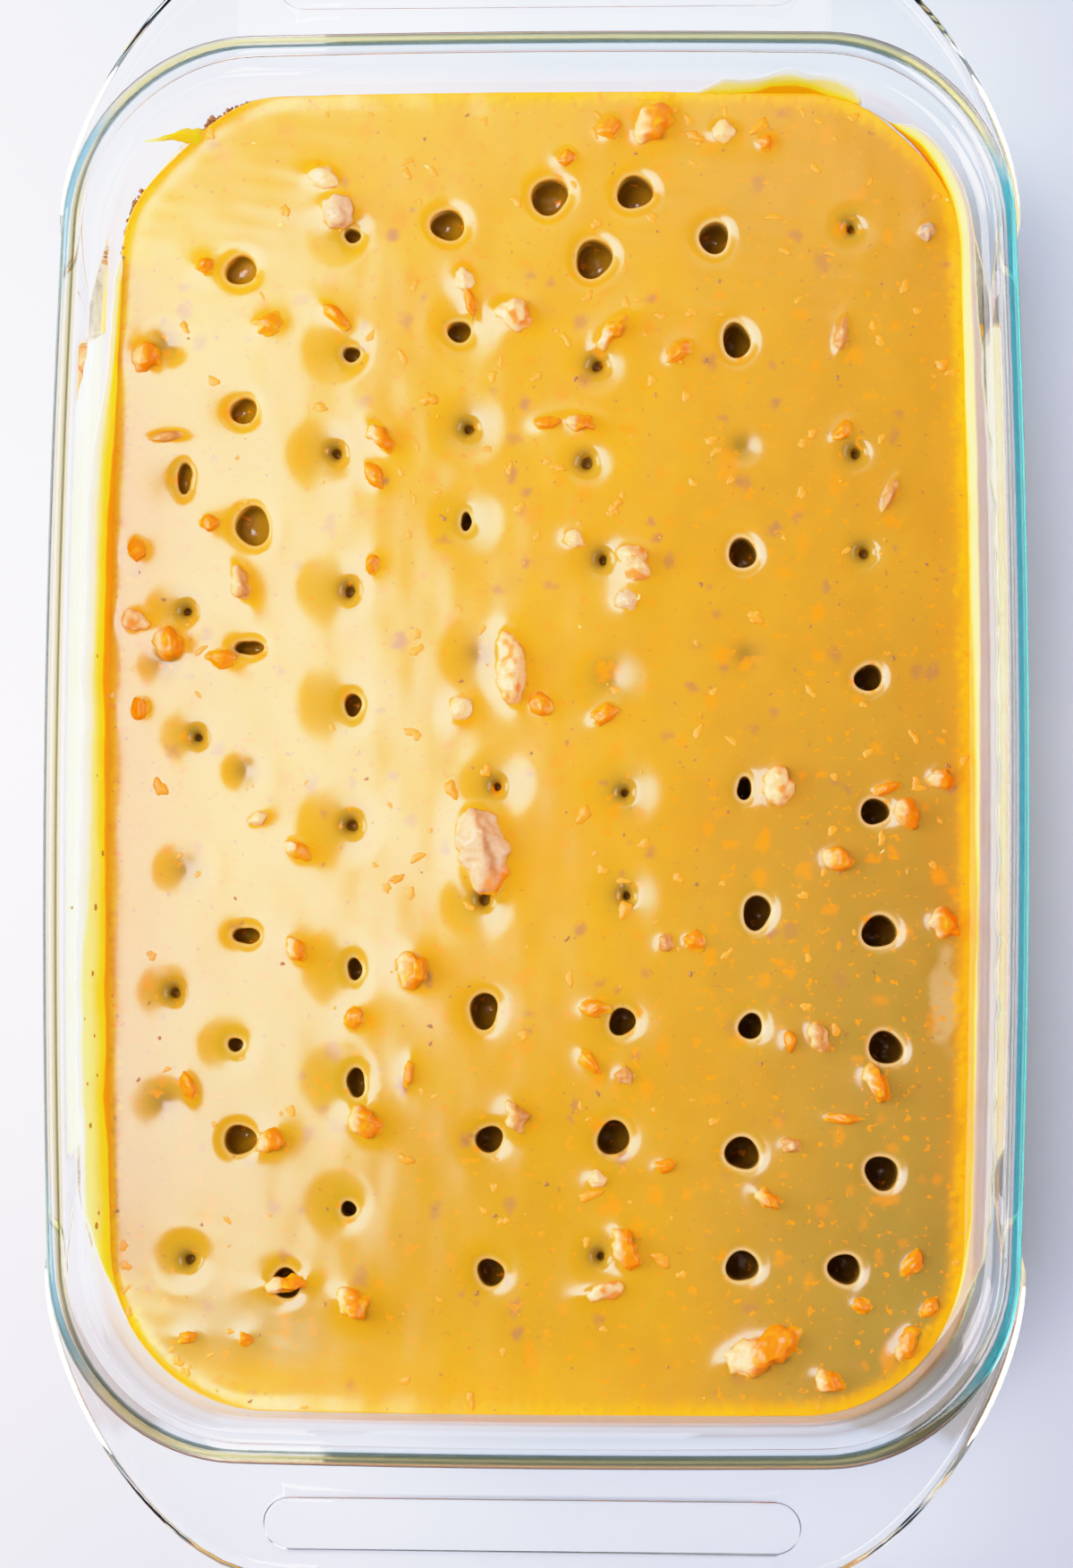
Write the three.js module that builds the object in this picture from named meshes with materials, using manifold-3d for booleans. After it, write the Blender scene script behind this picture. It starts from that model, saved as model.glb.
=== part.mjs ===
// A chocolate poke cake in the clear glass baking dish that it was baked in.
// Millimetres, +Z up. The origin is the middle of the dish's base, on the table.
// +Y runs along the dish to its far handle, and +X to the right.
import * as THREE from 'three';
import { mergeVertices } from 'three/addons/utils/BufferGeometryUtils.js';
import Module from 'manifold-3d';

const wasm = await Module();
wasm.setup();

// Rim of the dish, seen from above
const HALF_WIDTH = 118;
const HALF_LENGTH = 172.5;
const CORNER_RADIUS = 45;
const SIDE_BOW = 0.0406;
const END_BOW = 0.0094;
const CORNER_STEPS = 6;
const LONG_SIDE_STEPS = 4;
const SHORT_SIDE_STEPS = 2;

// Wall of the dish. An inset is the distance in from the rim's outer edge.
const DISH_HEIGHT = 58;
const FLOOR_THICKNESS = 5;
const WALL_DRAFT = THREE.MathUtils.degToRad(12);
const WALL_TOP = 48;
const OUTER_INSET_AT_TOP = 6.3;
const INNER_INSET_AT_TOP = 11.3;
const CORNER_SHRINK = 0.55;
const END_WALL_STEEPNESS = 0.8;
const FOOT_RADIUS = 12;
const FLOOR_RADIUS = 10;
const BEAD_RADIUS = 2.4;
const BEAD_ARC = [-125, -370];
const FLARE_OUTSIDE = [5.3, 52.4];
const FLARE_INSIDE = [10.1, 53.8];

// Handles: flat lugs at both ends, with a shallow pill-shaped recess underneath
const HANDLE_BOTTOM = 46.5;
const HANDLE_THICKNESS = 5;
const HANDLE_ROUNDING = 2.2;
const HANDLE_REACH = 200.9;
const HANDLE_SHOULDER = [63, 199.1];
const HANDLE_BEND_OUT = [90, 196.5];
const HANDLE_BEND_IN = [118, 152];
const HANDLE_SIDE = [116.6, 125];
const HANDLE_EMERGES = [114.5, 108];
const HANDLE_ROOT = [108, 96];
const HANDLE_PLUG_INSET = 7.5;
const RECESS_HALF_LENGTH = 64;
const RECESS_RADIUS = 6.2;
const RECESS_Y = 186.6;
const RECESS_DEPTH = 1;

// Cake and sauce
const GAP = 0.3;
const CAKE_TOP = 37.2;
const CAKE_EDGE_ROUNDING = 1.3;
const SAUCE_TOP = 41;
const SAUCE_TILT = 0.9;
const SAUCE_WAVE = 0.45;
const SAUCE_SHOULDER = 1.6;
const SAUCE_RING_SCALES = [0.955, 0.8, 0.55, 0.28];
const HOLE_SIDES = 8;
const HOLE_BOTTOM = 15;
const HOLE_TAPER = 3;
const HOLE_LIP = 1.6;
const SMALLEST_OPEN_HOLE = 3.5;
const DIMPLE_RADIUS = 5.2;
const DIMPLE_DEPTH = 2.4;
const CLEAR = 0.5;

// Candy pieces
const SEAT = 39.5;
const SHARD_SIDES = 8;
const SHARD_RISE = 0.3;
const SHARD_LEAST_RISE = 1.4;
const SHARD_TOP_SCALE = { nut: 0.42, pale: 0.5, orange: 0.62, toffee: 0.4 };
const SHARD_TILT = 0.3;
const BIT_HEIGHT = 3.2;
const BIT_TILT = 0.5;

// Every poke hole from the far row to the near one: x, y, mouth width, mouth length.
// A mouth of 0 to 3 is a dimple that the sauce has closed.
const HOLES = [
  [2.5, 135.5, 9, 9], [23.5, 136.5, 8.5, 8.5], [-22.5, 128.5, 8, 8], [-46, 126, 4, 3.5],
  [76.5, 127, 2, 2], [43, 125, 7.5, 7.5], [13.5, 120, 9, 9.5], [-73.5, 117.5, 7.5, 7.5],
  [-19.5, 102, 5.5, 5.5], [48.5, 99.5, 6.5, 9], [-91, 99, 0, 0], [-46, 96.5, 4.5, 3.5], [14.5, 93.5, 3, 2.5],
  [-72.5, 82.5, 6.5, 6.5], [-17, 78, 2.5, 2.5], [50.5, 73, 0, 0], [-49.5, 72, 2.5, 2.5], [77.5, 71.5, 2.5, 2.5],
  [12, 69.5, 3, 3], [-87, 66, 3.5, 8], [-17.5, 55, 2.5, 5], [-70, 54, 8, 10.5], [79.5, 47, 2.5, 2.5],
  [50, 47, 7, 7], [16, 45.5, 2, 2.5], [-46, 38, 2.5, 3], [-86, 33, 2, 2], [-70.5, 24, 7, 3.5],
  [-13.5, 22, 0, 0], [51.5, 21.5, 0, 0], [-90.5, 20.5, 0, 0], [18, 17, 0, 0], [80.5, 16.5, 6.5, 6.5],
  [-45, 10, 4, 6], [-83, 2, 2, 2], [-70.5, -6.5, 0, 0], [-9.5, -10, 2, 2], [50.5, -10.5, 3.5, 5.5],
  [21.5, -11.5, 2, 2], [82, -16, 6.5, 6.5], [-45, -19.5, 3, 3], [-84.5, -30.5, 0, 0], [22, -36.5, 2, 2],
  [-12.5, -37.5, 3, 3], [53.5, -40.5, 6.5, 8.5], [83, -45, 8, 8], [-70.5, -46.5, 6.5, 4], [-44, -54.5, 3.5, 5.5],
  [-88, -60.5, 2.5, 2.5], [-12.5, -64.5, 7, 8.5], [21, -67, 6.5, 6.5], [52, -68, 5.5, 6.5], [-73, -73, 3.5, 3.5],
  [84.5, -73, 8, 8], [-43.5, -82, 4.5, 7], [-89.5, -87.5, 0, 0], [19, -95, 8, 8], [-11, -95.5, 6.5, 6.5],
  [-71.5, -96, 7.5, 7.5], [50, -98.5, 8, 8], [83.5, -103, 8, 8], [-45, -112.5, 4, 3.5], [16, -123.5, 2, 2],
  [-83.5, -125, 2.5, 2.5], [50, -125.5, 7.5, 7.5], [74.5, -126, 7.5, 7.5], [-10.5, -127.5, 6.5, 6.5],
  [-60, -130.5, 7, 7],
];

// Candy pieces as large as berries: x, y, length, width, turn in degrees, kind
const CHUNKS = [
  [-13, -26.5, 26, 14, 106, 'nut'], [54.5, -145.5, 22, 10.5, 24, 'orange'], [28, 153.5, 13, 9, 55, 'orange'],
  [-6, 19, 21, 9, 98, 'pale'], [24, 44, 12, 8.5, -45, 'pale'], [-6.5, 106, 12, 8, -20, 'pale'],
  [18, 101.5, 13.5, 5, 43, 'orange'], [58.5, -10, 10.5, 8.5, 90, 'pale'], [10.5, 79, 10, 5, -15, 'orange'],
  [90, -17, 8.5, 7, -50, 'orange'], [98.5, -8, 8.5, 6.5, -20, 'orange'], [98.5, -43.5, 10, 7, -35, 'orange'],
  [73, -27.5, 8.5, 7.5, -20, 'orange'], [82.5, -81.5, 11, 7, -50, 'orange'], [89, -143.5, 12, 6, 60, 'orange'],
  [71, -152.5, 9, 6, -30, 'orange'], [68.5, -71, 10, 5.5, -60, 'toffee'], [22, -121.5, 12, 7, -72, 'orange'],
  [16, -132, 11, 5, 10, 'pale'], [56, -109.5, 9.5, 5, -35, 'orange'], [-43.5, -135, 10.5, 8, -30, 'orange'],
  [-60, -130.5, 13.5, 4.5, 8, 'orange'], [-41, -91.5, 11, 8, -40, 'orange'], [-4.5, -90.5, 9.5, 6, -70, 'toffee'],
  [-29.5, -54.5, 10, 9, -60, 'orange'], [-64, -96, 8.5, 6, 30, 'orange'], [-58, -50, 9, 5, -50, 'orange'],
  [-49.5, 132, 10, 8.5, -40, 'nut'], [-58, -25.5, 8.5, 5.5, -35, 'orange'], [-96.5, 96, 9, 8, 100, 'orange'],
  [-98.5, 30.5, 8, 6.5, 15, 'pale'], [-90, 24.5, 8.5, 8, -30, 'orange'], [-38.5, 75.5, 10, 5, -52, 'orange'],
  [-72.5, 40, 11.5, 5, -68, 'toffee'],
];

// Smaller bits that the sauce holds: x, y, length, width, turn in degrees
const BITS = [
  [2.5, 79, 7.5, 4, 10], [22, 35.5, 6.5, 6, 0], [-17, 109.5, 11, 3, -75], [-18.5, 115, 7, 5.5, 90],
  [84.5, -10.5, 8, 3.5, 22], [95, -135, 6.5, 4.5, 50], [-53.5, 140.5, 9.5, 6, -20], [-40, 66.5, 8, 5, -60],
  [1, 10, 7, 6, -20], [-18.5, 8.5, 8, 6.5, 60], [34.5, 96.5, 8, 5, 40], [74, 76.5, 7, 4, 45],
  [91, -124.5, 8, 5, 62], [45, 151, 7.5, 6, 0], [55.5, 148.5, 4.5, 4.5, 0], [17.5, 152, 6.5, 6, 0],
  [-66.5, 104, 8, 5, 20], [-82.5, 118.5, 5, 4.5, 0], [-40.5, 44.5, 5.5, 4, 80], [-77, 21, 7.5, 5, -10],
  [-98.5, 48, 6, 6.5, 0], [-80.5, 54.5, 5, 5, -60], [-97.5, 9, 6, 5, 90], [-68, -18, 6, 4, 20],
  [-43.5, -66.5, 6.5, 6, 0], [-30.5, -79.5, 8, 3, 85], [14.5, -64, 7, 5, 0], [13.5, -77, 8.5, 4, -50],
  [21.5, -80, 5.5, 5, 0], [61.5, -71.5, 5.5, 4, 90], [78.5, -134.5, 5, 4.5, 0], [31.5, -101.5, 5.5, 3.5, 10],
  [15, -105, 5.5, 4.5, 0], [62, -96.5, 5.5, 4.5, -20], [16.5, 7.5, 8, 5, 35], [31.5, -48, 5, 4.5, 90],
  [38, -47.5, 6, 5.5, 0], [9, 50.5, 6, 5, -30], [-91, 76, 10, 3, 3], [-83.5, -143.5, 6, 3.5, 0],
  [-69.5, -144, 4.5, 3.5, 0], [74, 100.5, 10, 3.5, 80], [86, 61.5, 9.5, 3, 66], [74.5, -90, 9.5, 3, -4],
  [-84, -83.5, 9, 4, -72], [-50, 106, 9, 4, -45], [95, 126, 5, 5, 0], [6.5, 145, 5.5, 4.5, 20],
];

const COLOURS = {
  glass: 0xdcebe6,
  sponge: 0x3b2216,
  sauce: 0xe3ac33,
  nut: 0xe3c49a,
  pale: 0xf0cf9c,
  orange: 0xf08f1c,
  toffee: 0xb9825c,
};

// A repeatable number from 0 to 1 for every pair of numbers
function chance(item, side) {
  const wave = Math.sin(item * 127.1 + side * 311.7) * 43758.5453;
  return wave - Math.floor(wave);
}

// Solids and geometry
function solidOf(geometry) {
  const bare = geometry.clone();
  bare.deleteAttribute('normal');
  bare.deleteAttribute('uv');
  const merged = mergeVertices(bare, 1e-4);
  const corners = merged.index.array;
  const kept = [];
  for (let i = 0; i < corners.length; i += 3) {
    const [a, b, c] = corners.slice(i, i + 3);
    if (a !== b && b !== c && c !== a) kept.push(a, b, c);
  }
  const mesh = new wasm.Mesh({
    numProp: 3,
    vertProperties: new Float32Array(merged.attributes.position.array),
    triVerts: new Uint32Array(kept),
  });
  return new wasm.Manifold(mesh);
}

function geometryOf(solid) {
  const mesh = solid.getMesh();
  const geometry = new THREE.BufferGeometry();
  geometry.setAttribute('position', new THREE.BufferAttribute(mesh.vertProperties, 3));
  geometry.setIndex(new THREE.BufferAttribute(mesh.triVerts, 1));
  geometry.computeVertexNormals();
  return geometry;
}

function largestPiece(solid) {
  const pieces = solid.decompose();
  return pieces.reduce((best, piece) => (piece.volume() > best.volume() ? piece : best));
}

function union(solids) {
  return solids.reduce((whole, solid) => whole.add(solid));
}

// A closed solid through rings with the same number of points, counter-clockwise from above,
// from the lowest ring to the last one, with both end rings filled from their middles.
function loft(rings) {
  const sides = rings[0].length;
  const points = rings.flat();
  const corners = [];
  for (let ring = 0; ring < rings.length - 1; ring++) {
    for (let side = 0; side < sides; side++) {
      const next = (side + 1) % sides;
      const [a, b] = [ring * sides + side, ring * sides + next];
      corners.push(a, b, b + sides, a, b + sides, a + sides);
    }
  }
  const middle = (ring) => ring.reduce((sum, p) => sum.add(p), new THREE.Vector3()).divideScalar(sides);
  const first = points.push(middle(rings[0])) - 1;
  const last = points.push(middle(rings[rings.length - 1])) - 1;
  const top = (rings.length - 1) * sides;
  for (let side = 0; side < sides; side++) {
    const next = (side + 1) % sides;
    corners.push(first, next, side);
    corners.push(last, top + side, top + next);
  }
  const geometry = new THREE.BufferGeometry().setFromPoints(points);
  geometry.setIndex(corners);
  return geometry;
}

// Outline of the dish at an inset: a rounded rectangle whose sides bow out in their middles
function outline(inset, z) {
  const bead = 2 * BEAD_RADIUS;
  const endInset = inset > bead ? bead + (inset - bead) * END_WALL_STEEPNESS : inset;
  const radius = CORNER_RADIUS - CORNER_SHRINK * inset;
  const middleX = HALF_WIDTH - inset - radius;
  const middleY = HALF_LENGTH - endInset - radius;
  const cornerSigns = [[1, 1], [-1, 1], [-1, -1], [1, -1]];
  const points = [];
  cornerSigns.forEach(([signX, signY], quarter) => {
    for (let step = 0; step <= CORNER_STEPS; step++) {
      const angle = ((quarter + step / CORNER_STEPS) * Math.PI) / 2;
      const x = signX * middleX + radius * Math.cos(angle);
      const y = signY * middleY + radius * Math.sin(angle);
      points.push(new THREE.Vector2(x, y));
    }
    const next = cornerSigns[(quarter + 1) % 4];
    const steps = quarter % 2 ? LONG_SIDE_STEPS : SHORT_SIDE_STEPS;
    const from = points[points.length - 1];
    const to = quarter % 2
      ? new THREE.Vector2(from.x, next[1] * middleY)
      : new THREE.Vector2(next[0] * middleX, from.y);
    for (let step = 1; step < steps; step++) points.push(from.clone().lerp(to, step / steps));
  });
  return points.map(({ x, y }) => {
    const bowedX = x * (1 - SIDE_BOW * (y / HALF_LENGTH) ** 2);
    const bowedY = y * (1 - END_BOW * (x / HALF_WIDTH) ** 2);
    return new THREE.Vector3(bowedX, bowedY, z);
  });
}

function innerWallInset(z) {
  return INNER_INSET_AT_TOP + (WALL_TOP - z) * Math.tan(WALL_DRAFT);
}

function outerWallInset(z) {
  return OUTER_INSET_AT_TOP + (WALL_TOP - z) * Math.tan(WALL_DRAFT);
}

// Points of a profile, each an inset and a height
function arc([inset, z], radius, fromDegrees, toDegrees, steps) {
  const points = [];
  for (let step = 0; step <= steps; step++) {
    const angle = THREE.MathUtils.degToRad(fromDegrees + ((toDegrees - fromDegrees) * step) / steps);
    points.push([inset + radius * Math.cos(angle), z + radius * Math.sin(angle)]);
  }
  return points;
}

function bend(from, control, to, steps) {
  const curve = new THREE.QuadraticBezierCurve(
    new THREE.Vector2(...from),
    new THREE.Vector2(...control),
    new THREE.Vector2(...to),
  );
  return curve.getPoints(steps).map((p) => [p.x, p.y]);
}

const DRAFT_DEGREES = THREE.MathUtils.radToDeg(WALL_DRAFT);
const FLOOR_ARC_HEIGHT = FLOOR_THICKNESS + FLOOR_RADIUS;
const FLOOR_ARC_MIDDLE = [
  innerWallInset(FLOOR_ARC_HEIGHT) + FLOOR_RADIUS / Math.cos(WALL_DRAFT),
  FLOOR_ARC_HEIGHT,
];

// Dish: up the outside, over the beaded rim, down the inside
function dishBody() {
  const footMiddle = [outerWallInset(FOOT_RADIUS) + FOOT_RADIUS / Math.cos(WALL_DRAFT), FOOT_RADIUS];
  const bead = arc([BEAD_RADIUS, DISH_HEIGHT - BEAD_RADIUS], BEAD_RADIUS, ...BEAD_ARC, 5);
  const outerTop = [OUTER_INSET_AT_TOP, WALL_TOP];
  const innerTop = [INNER_INSET_AT_TOP, WALL_TOP];
  const profile = [
    ...arc(footMiddle, FOOT_RADIUS, -90, -180 + DRAFT_DEGREES, 3),
    ...bend(outerTop, FLARE_OUTSIDE, bead[0], 2).slice(0, -1),
    ...bead,
    ...bend(bead[bead.length - 1], FLARE_INSIDE, innerTop, 2).slice(1),
    ...arc(FLOOR_ARC_MIDDLE, FLOOR_RADIUS, 180 + DRAFT_DEGREES, 270, 3),
  ];
  return solidOf(loft(profile.map(([inset, z]) => outline(inset, z))));
}

function handle() {
  const shape = new THREE.Shape();
  const [shoulderX, shoulderY] = HANDLE_SHOULDER;
  const [outX, outY] = HANDLE_BEND_OUT;
  const [inX, inY] = HANDLE_BEND_IN;
  const [sideX, sideY] = HANDLE_SIDE;
  const [emergeX, emergeY] = HANDLE_EMERGES;
  const [rootX, rootY] = HANDLE_ROOT;
  shape.moveTo(rootX, rootY);
  shape.quadraticCurveTo(emergeX, emergeY, sideX, sideY);
  shape.bezierCurveTo(inX, inY, outX, outY, shoulderX, shoulderY);
  shape.quadraticCurveTo(0, 2 * HANDLE_REACH - shoulderY, -shoulderX, shoulderY);
  shape.bezierCurveTo(-outX, outY, -inX, inY, -sideX, sideY);
  shape.quadraticCurveTo(-emergeX, emergeY, -rootX, rootY);
  const plate = new THREE.ExtrudeGeometry(shape, {
    depth: HANDLE_THICKNESS - 2 * HANDLE_ROUNDING,
    bevelThickness: HANDLE_ROUNDING,
    bevelSize: HANDLE_ROUNDING,
    bevelOffset: -HANDLE_ROUNDING,
    bevelSegments: 2,
    curveSegments: 5,
  });
  plate.translate(0, 0, HANDLE_BOTTOM + HANDLE_ROUNDING);
  const plug = loft([WALL_TOP - 10, DISH_HEIGHT + 1].map((z) => outline(HANDLE_PLUG_INSET, z)));
  return solidOf(plate).subtract(solidOf(plug)).subtract(solidOf(recess()));
}

function recess() {
  const shape = new THREE.Shape();
  const straight = RECESS_HALF_LENGTH - RECESS_RADIUS;
  shape.absarc(straight, RECESS_Y, RECESS_RADIUS, -Math.PI / 2, Math.PI / 2, false);
  shape.absarc(-straight, RECESS_Y, RECESS_RADIUS, Math.PI / 2, (3 * Math.PI) / 2, false);
  const pill = new THREE.ExtrudeGeometry(shape, { depth: 2 * RECESS_DEPTH, bevelEnabled: false, curveSegments: 3 });
  return pill.translate(0, 0, HANDLE_BOTTOM - RECESS_DEPTH);
}

function dish() {
  const farHandle = handle();
  const nearHandle = farHandle.rotate([0, 0, 180]);
  return union([dishBody(), farHandle, nearHandle]);
}

// A round tool for a hole: its profile is radius and height, from the axis to the axis
function holeTool(profile, x, y, scaleX, scaleY) {
  const points = profile.map(([radius, z]) => new THREE.Vector2(radius, z));
  const geometry = new THREE.LatheGeometry(points, HOLE_SIDES);
  geometry.rotateX(Math.PI / 2);
  geometry.scale(scaleX, scaleY, 1);
  geometry.translate(x, y, 0);
  return solidOf(geometry);
}

function isOpen([, , width, length]) {
  return Math.max(width, length) >= SMALLEST_OPEN_HOLE;
}

// Cake: fills the dish up to CAKE_TOP, with a blind hole wherever the sauce left one open
function cake() {
  const wallGap = GAP / Math.cos(WALL_DRAFT);
  const shoulder = CAKE_TOP - CAKE_EDGE_ROUNDING;
  const profile = [
    ...arc(FLOOR_ARC_MIDDLE, FLOOR_RADIUS - GAP, 270, 180 + DRAFT_DEGREES, 3),
    [innerWallInset(shoulder) + wallGap, shoulder],
    [innerWallInset(CAKE_TOP) + wallGap + CAKE_EDGE_ROUNDING, CAKE_TOP],
  ];
  const sponge = solidOf(loft(profile.map(([inset, z]) => outline(inset, z))));
  const pokes = HOLES.filter(isOpen).map(([x, y, width, length]) => {
    const poke = [[0, HOLE_BOTTOM], [1, HOLE_BOTTOM + HOLE_TAPER], [1, SAUCE_TOP], [0, SAUCE_TOP]];
    return holeTool(poke, x, y, width / 2, length / 2);
  });
  return largestPiece(sponge.subtract(union(pokes)));
}

function sauceHeight(x, y) {
  const tilt = (SAUCE_TILT * x) / HALF_WIDTH;
  const wave = SAUCE_WAVE * Math.sin(x / 29 + 0.8) * Math.cos(y / 37 + 0.3);
  return SAUCE_TOP + tilt + wave;
}

// Sauce: a thick skin over the cake with a dimple or an open funnel at every hole
function sauceSkin() {
  const bottom = CAKE_TOP + GAP;
  const shoulder = SAUCE_TOP - SAUCE_SHOULDER;
  const edge = outline(innerWallInset(shoulder) + GAP, shoulder);
  const topRings = SAUCE_RING_SCALES.map((scale) =>
    edge.map(({ x, y }) => new THREE.Vector3(x * scale, y * scale, sauceHeight(x * scale, y * scale))));
  const skin = loft([outline(innerWallInset(bottom) + GAP, bottom), edge, ...topRings]);
  return solidOf(skin);
}

function sauceHole(hole) {
  const [x, y, width, length] = hole;
  const level = sauceHeight(x, y);
  if (isOpen(hole)) {
    const mouth = 1 + (2 * HOLE_LIP) / (width + length);
    const funnel = [[0, CAKE_TOP], [1, CAKE_TOP], [mouth, level + CLEAR], [0, level + CLEAR]];
    return holeTool(funnel, x, y, width / 2, length / 2);
  }
  const dimple = [[0, level - DIMPLE_DEPTH], [0.3, level - 0.8 * DIMPLE_DEPTH], [1, level + CLEAR], [0, level + CLEAR]];
  return holeTool(dimple, x, y, DIMPLE_RADIUS, DIMPLE_RADIUS);
}

function bit([x, y, length, width, turn]) {
  const geometry = new THREE.BoxGeometry(0.9 * length, 0.9 * width, BIT_HEIGHT);
  geometry.rotateX(BIT_TILT * (chance(length, x) - 0.5));
  geometry.rotateY(BIT_TILT * (chance(width, y) - 0.5));
  geometry.rotateZ(THREE.MathUtils.degToRad(turn));
  geometry.translate(x, y, sauceHeight(x, y));
  return solidOf(geometry);
}

// Outline of a candy piece: an uneven many-sided figure, turned, placed and tilted
function shardRing([x, y, length, width, turn], item, z, { scale = 1, grow = 0, slide = 0, tilt = 0 }) {
  const angle = THREE.MathUtils.degToRad(turn);
  const ring = [];
  for (let side = 0; side < SHARD_SIDES; side++) {
    const around = ((side + 0.5 * chance(item, side)) / SHARD_SIDES) * 2 * Math.PI;
    const uneven = 0.88 + 0.22 * chance(item, side + SHARD_SIDES);
    const along = ((length * uneven * scale) / 2 + grow) * Math.cos(around) + slide * length;
    const across = ((width * uneven * scale) / 2 + grow) * Math.sin(around);
    const pointX = x + along * Math.cos(angle) - across * Math.sin(angle);
    const pointY = y + along * Math.sin(angle) + across * Math.cos(angle);
    const lift = tilt * Math.cos(around + item);
    ring.push(new THREE.Vector3(pointX, pointY, z + lift));
  }
  return ring;
}

function chunk(place, item) {
  const [x, y, , width, , kind] = place;
  const level = sauceHeight(x, y);
  const rise = SHARD_LEAST_RISE + SHARD_RISE * width;
  const slide = 0.2 * (chance(item, 40) - 0.5);
  const tilt = SHARD_TILT * rise;
  return loft([
    shardRing(place, item, SEAT, { scale: 0.84 }),
    shardRing(place, item, level, {}),
    shardRing(place, item, level + 0.6 * rise, { scale: 0.86, slide: slide / 2, tilt: tilt / 2 }),
    shardRing(place, item, level + rise, { scale: SHARD_TOP_SCALE[kind], slide, tilt }),
  ]);
}

function seatOf(place, item) {
  const walls = [SEAT - GAP, DISH_HEIGHT].map((z) => shardRing(place, item, z, { grow: GAP }));
  return solidOf(loft(walls));
}

function sauce() {
  const topped = union([sauceSkin(), ...BITS.map(bit)]);
  const hollows = union([...HOLES.map(sauceHole), ...CHUNKS.map(seatOf)]);
  return largestPiece(topped.subtract(hollows));
}

function named(name, geometry, colour, roughness, glassy = false) {
  const material = new THREE.MeshStandardMaterial({ color: colour, roughness, metalness: 0 });
  material.transparent = glassy;
  material.opacity = glassy ? 0.35 : 1;
  const mesh = new THREE.Mesh(geometry, material);
  mesh.name = name;
  return mesh;
}

const pokeCake = new THREE.Group();
pokeCake.add(named('dish', geometryOf(dish()), COLOURS.glass, 0.05, true));
pokeCake.add(named('cake', geometryOf(cake()), COLOURS.sponge, 0.9));
pokeCake.add(named('sauce', geometryOf(sauce()), COLOURS.sauce, 0.25));
CHUNKS.forEach((place, item) => {
  const name = `chunk_${String(item + 1).padStart(2, '0')}`;
  pokeCake.add(named(name, chunk(place, item), COLOURS[place[5]], 0.45));
});

export default pokeCake;
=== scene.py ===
"""A chocolate poke cake under amber sauce, in the glass dish that it was baked in."""

import math
import random
from collections import namedtuple

import bmesh
import bpy
import numpy as np
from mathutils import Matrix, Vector, noise
from mathutils.geometry import delaunay_2d_cdt


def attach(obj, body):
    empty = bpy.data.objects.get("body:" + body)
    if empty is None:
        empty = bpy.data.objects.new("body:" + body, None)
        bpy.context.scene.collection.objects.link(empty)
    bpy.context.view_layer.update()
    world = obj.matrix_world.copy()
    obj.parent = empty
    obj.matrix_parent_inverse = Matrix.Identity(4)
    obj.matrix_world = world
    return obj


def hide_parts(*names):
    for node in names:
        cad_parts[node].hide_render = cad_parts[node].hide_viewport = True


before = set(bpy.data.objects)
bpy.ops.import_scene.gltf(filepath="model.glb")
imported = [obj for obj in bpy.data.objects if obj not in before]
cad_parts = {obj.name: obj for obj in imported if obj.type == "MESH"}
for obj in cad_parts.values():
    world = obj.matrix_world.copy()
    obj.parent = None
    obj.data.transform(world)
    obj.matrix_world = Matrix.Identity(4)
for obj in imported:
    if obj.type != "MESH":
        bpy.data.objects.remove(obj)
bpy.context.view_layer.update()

MM = 0.001
TURN = 2 * math.pi

# Outline and wall of the dish, in millimetres, as in the CAD
HALF_WIDTH = 118
HALF_LENGTH = 172.5
CORNER_RADIUS = 45
SIDE_BOW = 0.0406
END_BOW = 0.0094
DRAFT = math.radians(12)
WALL_TOP = 48
OUTER_INSET_AT_TOP = 6.3
INNER_INSET_AT_TOP = 11.3
CORNER_SHRINK = 0.55
END_WALL_STEEPNESS = 0.8
FLOOR_THICKNESS = 5
FOOT_RADIUS = 12
FLOOR_RADIUS = 10
BEAD_RADIUS = 2.38
BEAD_WIDTH = 4.8
BEAD_MIDDLE = (2.4, 55.6)
FLARE_OUTSIDE = (5.3, 52.4)
FLARE_INSIDE = (10.1, 53.8)
LUG_LOW = 46.5
LUG_HIGH = 51.5
LUG_ROOT_Y = 96
LUG_ROUNDING = 2.2
CAKE_TOP = 37.2
HOLE_BOTTOM = 15
REACH_INTO_WALL = 0.22
LIP_ROUNDING = 0.35
SAUCE_LEVEL = 40.4
SPONGE_TOP = CAKE_TOP + 0.05
PINPRICK_BOTTOM = 27
RECESS_Y = 186.6
RECESS_HALF_LENGTH = 64
RECESS_RADIUS = 6.2
RECESS_ROUNDING = 0.7

# Grid of points in the sauce: its step, the height of a row for a step of 1 and half of its size
GRID_STEP = 1.2
GRID_ROW = 0.866
GRID_HALF_WIDTH = 108
GRID_HALF_LENGTH = 165

# How far a hole's dent reaches at most, and how many stains and flakes there are
DENT_REACH = 16
STAINS = 520
FLAKES = 460

Hole = namedtuple("Hole", "number x y width length dent_x dent_y dent_radius dent_depth")
Candy = namedtuple("Candy", "number x y length width turn kind", defaults=("orange",))

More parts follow.
